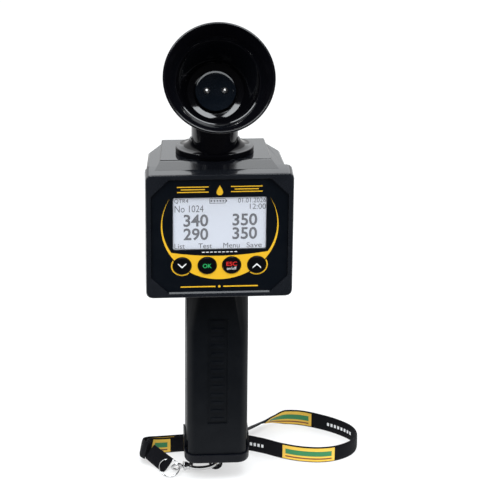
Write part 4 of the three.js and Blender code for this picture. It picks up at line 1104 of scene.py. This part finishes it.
def curve_between(values, k, t):
    """A place on a centripetal Catmull-Rom curve between the values k and k + 1."""
    last = len(values) - 1
    a, b, c, d = (values[max(0, min(last, k + n))] for n in (-1, 0, 1, 2))
    a = b * 2 - c if k == 0 else a
    d = c * 2 - b if k == last - 1 else d
    knots = [0.0]
    for p, q in ((a, b), (b, c), (c, d)):
        knots.append(knots[-1] + max((q - p).length, 1e-6) ** 0.5)
    x = knots[1] + (knots[2] - knots[1]) * t

    def mix(p, q, low, high):
        return p.lerp(q, (x - knots[low]) / (knots[high] - knots[low]))

    ab, bc, cd = mix(a, b, 0, 1), mix(b, c, 1, 2), mix(c, d, 2, 3)
    return mix(mix(ab, bc, 0, 2), mix(bc, cd, 1, 3), 1, 2)


def smooth_route(rows, steps):
    """Places and width directions along a smooth curve through the rows, evenly spaced."""
    places = [Vector(place) + Vector((0, 0, CAP_BOTTOM)) for place, _ in rows]
    widths = [Vector(width) for _, width in rows]
    shares = [(k, part / 16) for k in range(len(rows) - 1) for part in range(16)]
    fine_places = [curve_between(places, k, t) for k, t in shares] + [places[-1]]
    fine_widths = [widths[k].lerp(widths[k + 1], t) for k, t in shares] + [widths[-1]]
    travelled = [0.0]
    for a, b in zip(fine_places, fine_places[1:]):
        travelled.append(travelled[-1] + (b - a).length)
    even_places, even_widths = [], []
    k = 0
    for want in spread(0, travelled[-1], steps):
        while k < len(travelled) - 2 and travelled[k + 1] < want:
            k += 1
        t = (want - travelled[k]) / max(travelled[k + 1] - travelled[k], 1e-6)
        even_places.append(fine_places[k].lerp(fine_places[k + 1], t))
        even_widths.append(fine_widths[k].lerp(fine_widths[k + 1], t).normalized())
    return even_places, even_widths, travelled[-1]


def band_mesh(places, widths, half_width, half_thick):
    """A woven band swept along its places, with rounded selvedges and its own UV map in millimetres."""
    bm = bmesh.new()
    layer = bm.loops.layers.uv.new("strap")
    outline = [(s * half_width, half_thick * (1 - 0.75 * abs(s) ** 8)) for s in spread(-1, 1, 8)]
    ring = outline + [(u, -t) for u, t in outline[::-1]]
    rows, spots = [], {}
    travelled = 0.0
    for k, place in enumerate(places):
        ahead = (places[min(k + 1, len(places) - 1)] - places[max(k - 1, 0)]).normalized()
        across = (widths[k] - ahead * widths[k].dot(ahead)).normalized()
        through = ahead.cross(across)
        travelled += (place - places[max(k - 1, 0)]).length
        rows.append([bm.verts.new(place + across * u + through * t) for u, t in ring])
        spots.update({vert: (travelled, u) for vert, (u, _) in zip(rows[-1], ring)})
    skinned(bm, rows)
    for face in bm.faces:
        for loop in face.loops:
            loop[layer].uv = spots[loop.vert]
    return bm


class BuildStrap(bpy.types.Operator):
    """Builds the woven wrist strap, its sewn end and its printed panels"""

    bl_idname = "detector.build_strap"
    bl_label = "Build strap"

    def execute(self, context):
        strap = context.scene.detector_strap
        half_width, half_thick = (size / 2 for size in lengths(strap, "width", "thickness"))
        half_tail_thick = 1.3
        places, widths, length = smooth_route(LOOP_ROUTE, 260)
        band = band_mesh(places, widths, half_width, half_thick)
        loop = place_piece("wrist_strap", band, "webbing", None)
        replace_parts(loop, "strap_loop")
        tail_places, tail_widths, _ = smooth_route(TAIL_ROUTE, 24)
        band = band_mesh(tail_places, tail_widths, half_width, half_tail_thick)
        tail = place_piece("strap_end", band, "webbing", None)
        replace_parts(tail, "strap_tail")
        prints = self.panels((places, widths), half_width, half_thick)
        prints += self.stitches((tail_places, tail_widths), half_width, half_tail_thick)
        for piece in (loop, tail, *prints):
            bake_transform(piece)
        return {"FINISHED"}

    def station(self, route, distance):
        """Place, direction and width direction at a distance along a route."""
        places, widths = route
        step = (places[1] - places[0]).length
        k = min(max(int(distance / step), 0), len(places) - 2)
        part = distance / step - k
        before, after = max(k - 1, 0), min(k + 2, len(places) - 1)
        here = (places[k + 1] - places[before]).normalized()
        there = (places[after] - places[k]).normalized()
        ahead = here.lerp(there, part).normalized()
        across = widths[k].lerp(widths[k + 1], part)
        return places[k].lerp(places[k + 1], part), ahead, (across - ahead * across.dot(ahead)).normalized()

    def patch(self, name, finish, route, spans, reach, lift, face=1):
        """Thin print over some stretches of a route, between two places across it."""
        step = (route[0][1] - route[0][0]).length
        bm = bmesh.new()
        for start, end in spans:
            first, last = math.floor(start / step) + 1, math.ceil(end / step)
            rows = []
            for distance in [start, *(k * step for k in range(first, last)), end]:
                place, ahead, across = self.station(route, distance)
                base = place + ahead.cross(across) * face * lift
                rows.append([bm.verts.new(base + across * u) for u in spread(*reach, 4)])
            for here, there in zip(rows, rows[1:]):
                for c in range(4):
                    bm.faces.new((here[c], here[c + 1], there[c + 1], there[c]))
        bm.normal_update()
        bmesh.ops.solidify(bm, geom=bm.faces, thickness=0.03)
        return place_piece(name, outward(bm), finish, None)

    def panels(self, route, half, half_thick):
        """Gold panels with a plain green stripe and a brown line, and rows of white dashes."""
        places = route[0]
        length = (places[1] - places[0]).length * (len(places) - 1)
        inset, pitch, dash = 1.8, 2.4, 1.4
        low, high = half_thick + 0.03, half_thick + 0.07
        found = []
        for name, start, end, face in (
            ("near", 91.4, 122, 1),
            ("far", 180.5, 208.5, -1),
            ("left", 12, 23.5, 1),
            ("upper", length - 31.3, length - 15.5, -1),
        ):
            whole, middle = [(start, end)], [(start + inset, end - inset)]
            for part, finish, spans, reach, lift in (
                ("panel", "panel_print", whole, (-0.86, 0.86), low),
                ("line", "brown_ink", middle, (-0.6, -0.44), high),
                ("stripe", "stripe_ink", middle, (-0.2, 0.44), high),
            ):
                across = [share * half for share in reach]
                found.append(self.patch(f"strap_{name}_{part}", finish, route, spans, across, lift, face))
        for name, start, count, face in (("near", 70.5, 4, 1), ("far", 152, 8, -1)):
            row = [(start + k * pitch, start + k * pitch + dash) for k in range(count)]
            piece = f"strap_{name}_dashes"
            found.append(self.patch(piece, "white_ink", route, row, (-1.1, 0.9), low, face))
        return found

    def stitches(self, route, half, half_thick):
        """The thread that sews the doubled end together, along both edges and across the end."""
        places = route[0]
        length = (places[1] - places[0]).length * (len(places) - 1)
        reach, pitch, stitch, thread, start = 0.78 * half, 1.5, 1.0, 0.35, 3.5
        count = int((length - 5) / pitch)
        seam = [(start + k * pitch, start + k * pitch + stitch) for k in range(count)]
        found = []
        for name, spans, across in (
            ("low", seam, (-reach, thread - reach)),
            ("high", seam, (reach - thread, reach)),
            ("end", [(3.2, 3.7)], (-reach, reach)),
        ):
            found.append(self.patch(f"stitch_{name}", "thread", route, spans, across, half_thick + 0.05))
        return found


# The stage is in metres: each lamp has its place, width, height, watts and whether it shows in gloss
LAMPS = {
    "lamp_back": ((0.1, 1.05, 1.1), 1.3, 1.4, 7.8, True),
    "lamp_front": ((0.05, -0.66, 1.06), 0.34, 0.34, 3.4, True),
    "lamp_over_left": ((-0.28, -0.36, 1.05), 0.34, 0.34, 4.4, True),
    "lamp_over_right": ((0.28, -0.36, 1.05), 0.34, 0.34, 4.4, True),
    "lamp_key": ((-0.8, -0.7, 1.1), 0.6, 0.6, 8.0, False),
    "lamp_right": ((0.9, -0.35, 0.7), 0.5, 0.8, 5.0, False),
}
LAMP_AIM = Vector((0, 0, 0.08))
CAMERA_AIM = Vector((0.0165, -0.027, 0.0814))
FLOOR_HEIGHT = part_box("end_cap")[0].z


def seen_rays(tree):
    """One for camera, glossy and transmission rays, and nought for the others."""
    path = add_node(tree, "LightPath").outputs
    gloss = maths(tree, "MAXIMUM", path["Is Camera Ray"], path["Is Glossy Ray"])
    return maths(tree, "MAXIMUM", gloss, path["Is Transmission Ray"])


def looking(place, way):
    """The matrix of a lamp or camera at a place that looks along a direction."""
    return Matrix.Translation(place) @ way.to_track_quat("-Z", "Y").to_matrix().to_4x4()


class BuildStage(bpy.types.Operator):
    """Sets the floor, the world, the lamps and the camera"""

    bl_idname = "detector.build_stage"
    bl_label = "Build stage"

    def execute(self, context):
        stage, scene = context.scene.detector_stage, context.scene
        scene.view_settings.view_transform = "Standard"
        self.floor(scene)
        self.world(scene)
        self.lamps(scene)
        e, s = stage.elevation, stage.swing
        back = Vector((-math.sin(s) * math.cos(e), -math.cos(s) * math.cos(e), math.sin(e)))
        camera = bpy.data.objects.new("camera", bpy.data.cameras.new("camera"))
        scene.collection.objects.link(camera)
        place = looking(CAMERA_AIM + back * stage.distance, -back)
        camera.matrix_world = place @ Matrix.Rotation(stage.roll, 4, "Z")
        camera.data.lens = stage.lens
        camera.data.sensor_width = 36
        camera.data.clip_start, camera.data.clip_end = 0.05, 20
        scene.camera = camera
        return {"FINISHED"}

    def floor(self, scene):
        """A pale floor that keeps the shadow and glows a little to the rays that see it."""
        half_size, forward, gap = 0.5, 0.415, 0.05 * MM
        bm = bmesh.new()
        bmesh.ops.create_grid(bm, x_segments=2, y_segments=2, size=half_size)
        shifted(bm, Matrix.Translation((0, forward, FLOOR_HEIGHT - gap)))
        mesh = bpy.data.meshes.new("floor")
        bm.to_mesh(mesh)
        bm.free()
        floor = bpy.data.objects.new("floor", mesh)
        scene.collection.objects.link(floor)
        white = {"Base_Color": (0.9, 0.9, 0.9, 1), "Roughness": 0.9, "Specular_IOR_Level": 0.0}
        material, tree, shader = start_material("floor_white", **white)
        glow = add_node(tree, "Emission", Strength=1.0)
        share = maths(tree, "MULTIPLY", seen_rays(tree), 0.55)
        mix = add_node(tree, "MixShader")
        wire(tree, (share, mix, "Fac"), (shader.outputs[0], mix, 1), (glow.outputs[0], mix, 2))
        wire(tree, (mix.outputs[0], tree.nodes["Material Output"], "Surface"))
        mesh.materials.append(material)

    def world(self, scene):
        """White to the camera; to gloss, white behind and above and dark in front; plain to the rest."""
        world = bpy.data.worlds.new("studio")
        scene.world = world
        world.use_nodes = True
        tree = world.node_tree
        backdrop = fill(tree.nodes["Background"], Color=(1, 1, 1, 1))
        toward = add_node(tree, "VectorMath", operation="DOT_PRODUCT")
        toward.inputs[1].default_value = Vector((0.0, 0.86, 0.5)).normalized()
        ramp = add_node(tree, "MapRange", interpolation_type="SMOOTHSTEP", From_Min=0.25, From_Max=0.62)
        fill(ramp, To_Min=0.03, To_Max=1.0)
        plain = add_node(tree, "Mix", data_type="FLOAT", A=0.55)
        seen = add_node(tree, "Mix", data_type="FLOAT", B=1.0)
        camera_ray = add_node(tree, "LightPath").outputs["Is Camera Ray"]
        wire(tree, (add_node(tree, "TexCoord").outputs["Generated"], toward, 0))
        wire(tree, (toward.outputs["Value"], ramp, "Value"))
        wire(tree, (seen_rays(tree), plain, "Factor"), (ramp.outputs["Result"], plain, "B"))
        wire(tree, (camera_ray, seen, "Factor"), (plain.outputs["Result"], seen, "A"))
        wire(tree, (seen.outputs["Result"], backdrop, "Strength"))

    def lamps(self, scene):
        """A broad soft box behind, three small ones over the front and two plain ones at the sides."""
        for name, (place, width, height, power, shines) in LAMPS.items():
            data = bpy.data.lights.new(name, "AREA")
            data.shape = "RECTANGLE"
            data.size, data.size_y = width, height
            data.energy = power
            data.color = (0.93, 0.97, 1.0)
            lamp = bpy.data.objects.new(name, data)
            scene.collection.objects.link(lamp)
            lamp.matrix_world = looking(place, LAMP_AIM - Vector(place))
            lamp.visible_camera = False
            lamp.visible_glossy = shines


class DetectorPanel(bpy.types.Panel):
    """Lists the detector's builders and settings"""

    bl_idname = "VIEW3D_PT_detector"
    bl_label = "Mastitis detector"
    bl_space_type = "VIEW_3D"
    bl_region_type = "UI"
    bl_category = "Detector"

    def draw(self, context):
        for step in STEPS:
            self.layout.operator(step.bl_idname)
        for name, group in SETTINGS.items():
            box = self.layout.box()
            for key in group.__annotations__:
                box.prop(getattr(context.scene, name), key)


STEPS = (
    BuildStage,
    BuildHousing,
    BuildDisplay,
    BuildLabel,
    BuildKeys,
    BuildCup,
    BuildClasp,
    BuildStrap,
)
SETTINGS = {
    "detector_cup": CupSettings,
    "detector_label": LabelSettings,
    "detector_strap": StrapSettings,
    "detector_stage": StageSettings,
}
CLASSES = (*SETTINGS.values(), *STEPS, DetectorPanel)


def register():
    for made in CLASSES:
        bpy.utils.register_class(made)
    for name, group in SETTINGS.items():
        setattr(bpy.types.Scene, name, bpy.props.PointerProperty(type=group))


def unregister():
    for name in SETTINGS:
        delattr(bpy.types.Scene, name)
    for made in reversed(CLASSES):
        bpy.utils.unregister_class(made)


def main():
    register()
    bpy.ops.detector.build_stage()
    bpy.ops.detector.build_housing()
    bpy.ops.detector.build_display()
    bpy.ops.detector.build_label()
    bpy.ops.detector.build_keys()
    bpy.ops.detector.build_cup()
    bpy.ops.detector.build_clasp()
    bpy.ops.detector.build_strap()


if __name__ == "__main__":
    main()
